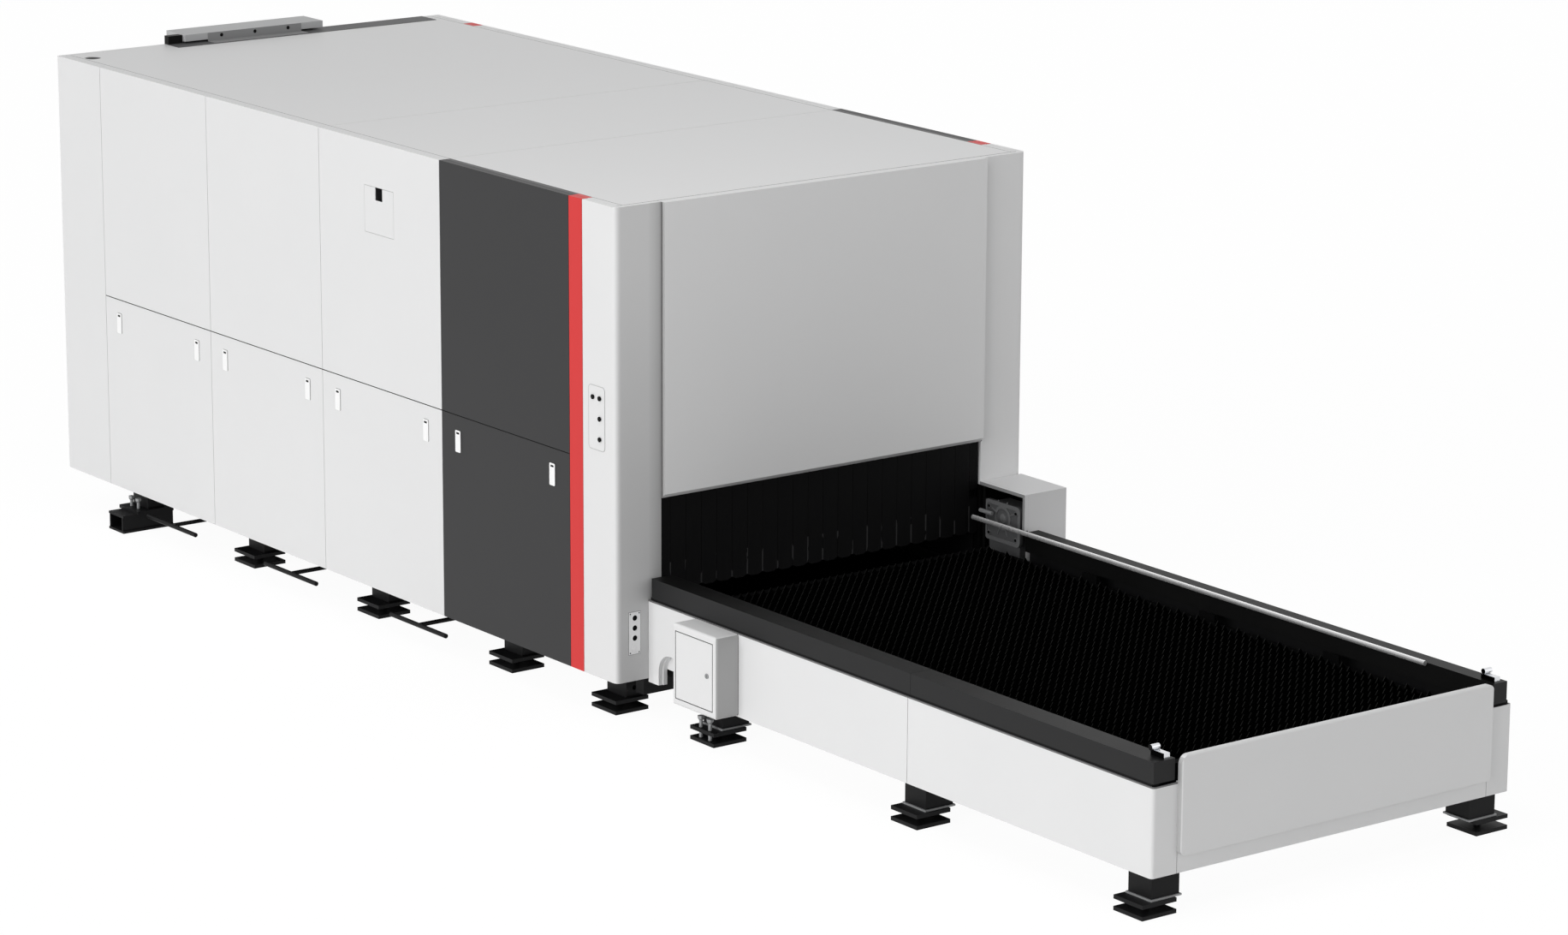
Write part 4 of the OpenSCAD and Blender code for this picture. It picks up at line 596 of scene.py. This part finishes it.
# Control cabinet: it stands off the skirt on a dark gasket, its flush door closes on a rubber seal,
# and the round lock has a key slot.
seal_rubber = rubber("seal_rubber", 0.020, 0.045)
low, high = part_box("cabinet_box")
gasket_proud, gasket_r, gasket_t, border_w, gasket_out = 0.0006, 0.0146, 0.0016, 0.004, 0.0017
bm = bmesh.new()
plate(bm, (low.x - gasket_proud, low.z - gasket_proud), (high.x + gasket_proud, high.z + gasket_proud),
      high.y - gasket_out, gasket_t, gasket_r, border_w)
piece("cabinet_gasket", bm, "machine", seal_rubber)
low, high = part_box("cabinet_door")
seam, seal_w, seal_proud, seal_sunk, seal_soft, pin_l = 0.0015, 0.0028, 0.0005, 0.001, 0.0003, 0.006
x0, x1, z0, z1 = low.x - seam, high.x + seam, low.z + pin_l - seam, high.z - pin_l + seam
bm = bmesh.new()
for a, b in (((x0 - seal_w, z0 - seal_w), (x0, z1 + seal_w)), ((x1, z0 - seal_w), (x1 + seal_w, z1 + seal_w)),
             ((x0, z0 - seal_w), (x1, z0)), ((x0, z1), (x1, z1 + seal_w))):
    slab(bm, (a[0], low.y - seal_proud, a[1]), (b[0], low.y + seal_sunk, b[1]), seal_soft)
piece("cabinet_seal", bm, "machine", seal_rubber)
metal("satin_nickel", (0.26, 0.265, 0.27), (0.33, 0.335, 0.34), 0.3, 0.15, 0.35, 220, nodes=("cabinet_lock",))
low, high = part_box("cabinet_lock")
lock_r, slot_half_w, slot_proud, slot_sunk, slot_soft = (high.z - low.z) / 2, 0.0012, 0.0003, 0.0006, 0.0002
lock_x, lock_z, slot_half_h = low.x + lock_r, (low.z + high.z) / 2, lock_r * 0.55
bm = bmesh.new()
slab(bm, (lock_x - slot_half_w, low.y - slot_proud, lock_z - slot_half_h),
     (lock_x + slot_half_w, low.y + slot_sunk, lock_z + slot_half_h), slot_soft)
piece("lock_slot", bm, "lock", black_plastic)

# Drive cover: a white folded hood, left in black primer inside. A folded rim towards the table closes
# the gap between the front corner and the rail, and thin black sheets paint shade on the sides of the
# opening.
hood_white, w = finish("hood_white", ("drive_cover",))
low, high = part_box("drive_cover")
wall, rim_t, lip_d, slack = 0.0015, 0.016, 0.003, 0.001
x, y, z = (along(w, axis) for axis in "XYZ")
inside = ((x > low.x + wall) * (x < high.x - wall) * (y > low.y + wall) * (y < high.y - wall)
          * (z < high.z - wall))
rear_lip = (x < low.x + rim_t + slack) * (z < high.z - rim_t - slack) * (y < low.y + lip_d)
coat = tones(w, clouds(w), (0.70, 0.70, 0.705), (0.73, 0.73, 0.735))
# Painted shade: the faces towards -Y are grey.
coat = tones(w, facing(w, "Y") < -0.7, coat, (0.26, 0.26, 0.262))
painted(w, tones(w, inside | rear_lip, coat, tones(w, clouds(w), 0.002, 0.004)), gloss=0.15)
corner_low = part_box("front_corner_far")[0]
rim_in, rim_foot_z, rim_soft, rim_lap, rim_gap = 0.001, 0.645, 0.001, 0.0005, 0.0002
shade_sheet_t, shade_sheet_foot_z, shade_sheet_soft = 0.002, 0.36, 0.0006
shade_sheet_out, shade_sheet_end, wall_gap = 0.0004, 0.001, 0.0001
rim_y, under_rim_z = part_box("front_cover")[1].y - rim_in, high.z - rim_t - rim_gap
shade_sheet_x = front_x + shade_sheet_out
bm = bmesh.new()
slab(bm, (front_x + rim_lap, rim_y, high.z - rim_t), (high.x, low.y + rim_lap, high.z), rim_soft)
slab(bm, (high.x - rim_t, rim_y, rim_foot_z), (high.x, low.y + rim_lap, under_rim_z), rim_soft)
piece("hood_rim", bm, "machine", hood_white)
# Painted shade: thin black sheets at the sides of the opening.
bm = bmesh.new()
slab(bm, (shade_sheet_x, corner_low.y - shade_sheet_t, shade_sheet_foot_z),
     (shade_sheet_x + shade_sheet_t, low.y + rim_t, under_rim_z), shade_sheet_soft)
for y0 in (corner_low.y - shade_sheet_t, -corner_low.y + wall_gap):
    slab(bm, (corner_low.x + shade_sheet_end, y0, shade_sheet_foot_z),
         (front_x - rim_gap, y0 + shade_sheet_t - wall_gap, under_rim_z), shade_sheet_soft)
piece("opening_shade_sheets", bm, "machine", black_plastic)

# Gearmotor: grey cast housing, sand-cast skin under a thin coat of paint. Its square face has ribs
# round the shaft's boss and a hexagon screw in each corner. A short plated rod lies beside it.
cast_grey, w = finish("cast_grey", ("gearmotor",))
low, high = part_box("gearmotor")
rim_d, raised_d = 0.005, 0.0036
skin = grain(w, 180, 3.0)
shaded_recess = tones(w, skin, (0.070, 0.071, 0.073), (0.105, 0.106, 0.108))
rib = tones(w, skin, (0.115, 0.116, 0.118), (0.165, 0.167, 0.17))
# Painted shade: the recessed face is darker than the raised rim, ribs and boss.
close(w, Base_Color=tones(w, along(w, "Y") < low.y + raised_d, shaded_recess, rib), Roughness=skin * 0.2 + 0.45,
      Specular_IOR_Level=0.2, Normal=w.add("Bump", Height=skin, Strength=0.3, Distance=0.001))
face_y, face_h, gear_x = low.y + rim_d, 0.190, (low.x + high.x) / 2
boss_r, boss_drop, boss_sunk = 0.058, 0.072, 0.004
gear_z, boss_z = high.z - face_h / 2, high.z - boss_drop
rib_count, rib_in, rib_out, rib_half_w, rib_h, rib_soft = 8, 0.004, 0.030, 0.003, 0.0035, 0.001
boss = ((0, 0.009), (0.012, 0.0085), (0.016, 0.006), (0.030, 0.0045), (0.036, 0.002), (0.040, 0))
bm = bmesh.new()
for k in range(rib_count):
    before = set(bm.verts)
    slab(bm, (boss_r - rib_in, -rib_half_w, 0), (boss_r + rib_out, rib_half_w, rib_h), rib_soft)
    made_rib = [v for v in bm.verts if v not in before]
    swing = Matrix.Rotation(math.tau * (k + 0.5) / rib_count, 3, "Z")
    bmesh.ops.rotate(bm, verts=made_rib, cent=(0, 0, 0), matrix=swing)
    put(bm, made_rib, (gear_x, face_y, boss_z), (0, -1, 0))
turned(bm, boss, (gear_x, face_y + boss_sunk, boss_z), (0, -1, 0))
piece("gear_face_ribs", bm, "machine", cast_grey)
lug_in, screw_across, screw_h, screw_out = 0.032, 0.013, 0.003, 0.0055
lug_x, lug_z = (high.x - low.x) / 2 - lug_in, face_h / 2 - lug_in
bm = bmesh.new()
for x in (gear_x - lug_x, gear_x + lug_x):
    for z in (gear_z - lug_z, gear_z + lug_z):
        hexagon(bm, (x, face_y - screw_out, z), (0, -1, 0), screw_across, screw_h)
piece("gear_face_screws", bm, "machine", black_plastic)
rod_r, rod_l, rod_soft, rod_out, rod_y, rod_z = 0.0095, 0.088, 0.001, 0.010, 0.900, 0.681
rod = ((0, 0), (rod_r - rod_soft, 0), (rod_r, rod_soft), (rod_r, rod_l - rod_soft), (rod_r - rod_soft, rod_l),
       (0, rod_l))
bm = bmesh.new()
turned(bm, rod, (front_x + rod_out, rod_y, rod_z), (1, 0, 0))
piece("drive_rod", bm, "machine", zinc)

# Rear door's hanger and track: a grey painted beam, and a darker angle that holds it with three
# screws and runs along the track strip on the roof to a black stop.
_, w = finish("hanger_grey", ("door_hanger",))
low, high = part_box("door_hanger")
bracket_in, bracket_gap = 0.190, 0.0005
bracket_x = low.x + bracket_in
beam = tones(w, clouds(w), (0.45, 0.455, 0.46), (0.50, 0.505, 0.51))
angle_steel = tones(w, clouds(w), (0.23, 0.232, 0.235), (0.28, 0.282, 0.285))
painted(w, tones(w, along(w, "X") > bracket_x + bracket_gap, beam, angle_steel), peel=0.08, gloss=0.3)
_, w = finish("track_grey", ("rear_track",))
strip_t = 0.003
strip = tones(w, clouds(w), (0.085, 0.086, 0.088), (0.11, 0.111, 0.113))
stop = tones(w, clouds(w), 0.002, 0.004)
close(w, Base_Color=tones(w, along(w, "Z") > roof_high.z + strip_t, strip, stop),
      Roughness=clouds(w) * 0.12 + 0.42, Specular_IOR_Level=0.1)
hanger_y, screw_pitch, screw_drop, angle_t = (low.y + high.y) / 2, 0.200, 0.017, 0.004
screw = ((0, 0.004), (0.005, 0.0036), (0.0085, 0.0012), (0.0095, 0))
bm = bmesh.new()
for y in (hanger_y - screw_pitch, hanger_y, hanger_y + screw_pitch):
    turned(bm, screw, (bracket_x + angle_t, y, high.z - screw_drop), (1, 0, 0), 16)
piece("hanger_screws", bm, "sliding_door", black_plastic)

# Duct hole in the roof's near rear corner: its dark inside is painted shade, a black moulded disc
# that sits a little below the sheet's face.
duct_r, duct_from_rear, duct_from_side = 0.040, 0.165, 0.112
shade_disc_r, shade_disc_d, shade_disc_sunk = duct_r - 0.0004, 0.012, 0.0030
shade_disc = ((0, 0.0012), (duct_r * 0.7, 0.0010), (duct_r * 0.96, 0.0004), (shade_disc_r, 0), (shade_disc_r, -shade_disc_d),
        (0, -shade_disc_d))
duct_x, duct_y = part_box("rear_corners")[0].x + duct_from_rear, side_y + duct_from_side
bm = bmesh.new()
# Painted shade: the black disc stands for the dark inside of the hole.
turned(bm, shade_disc, (duct_x, duct_y, roof_high.z - shade_disc_sunk), (0, 0, 1), 32)
piece("duct_shade_disc", bm, "machine", black_plastic)
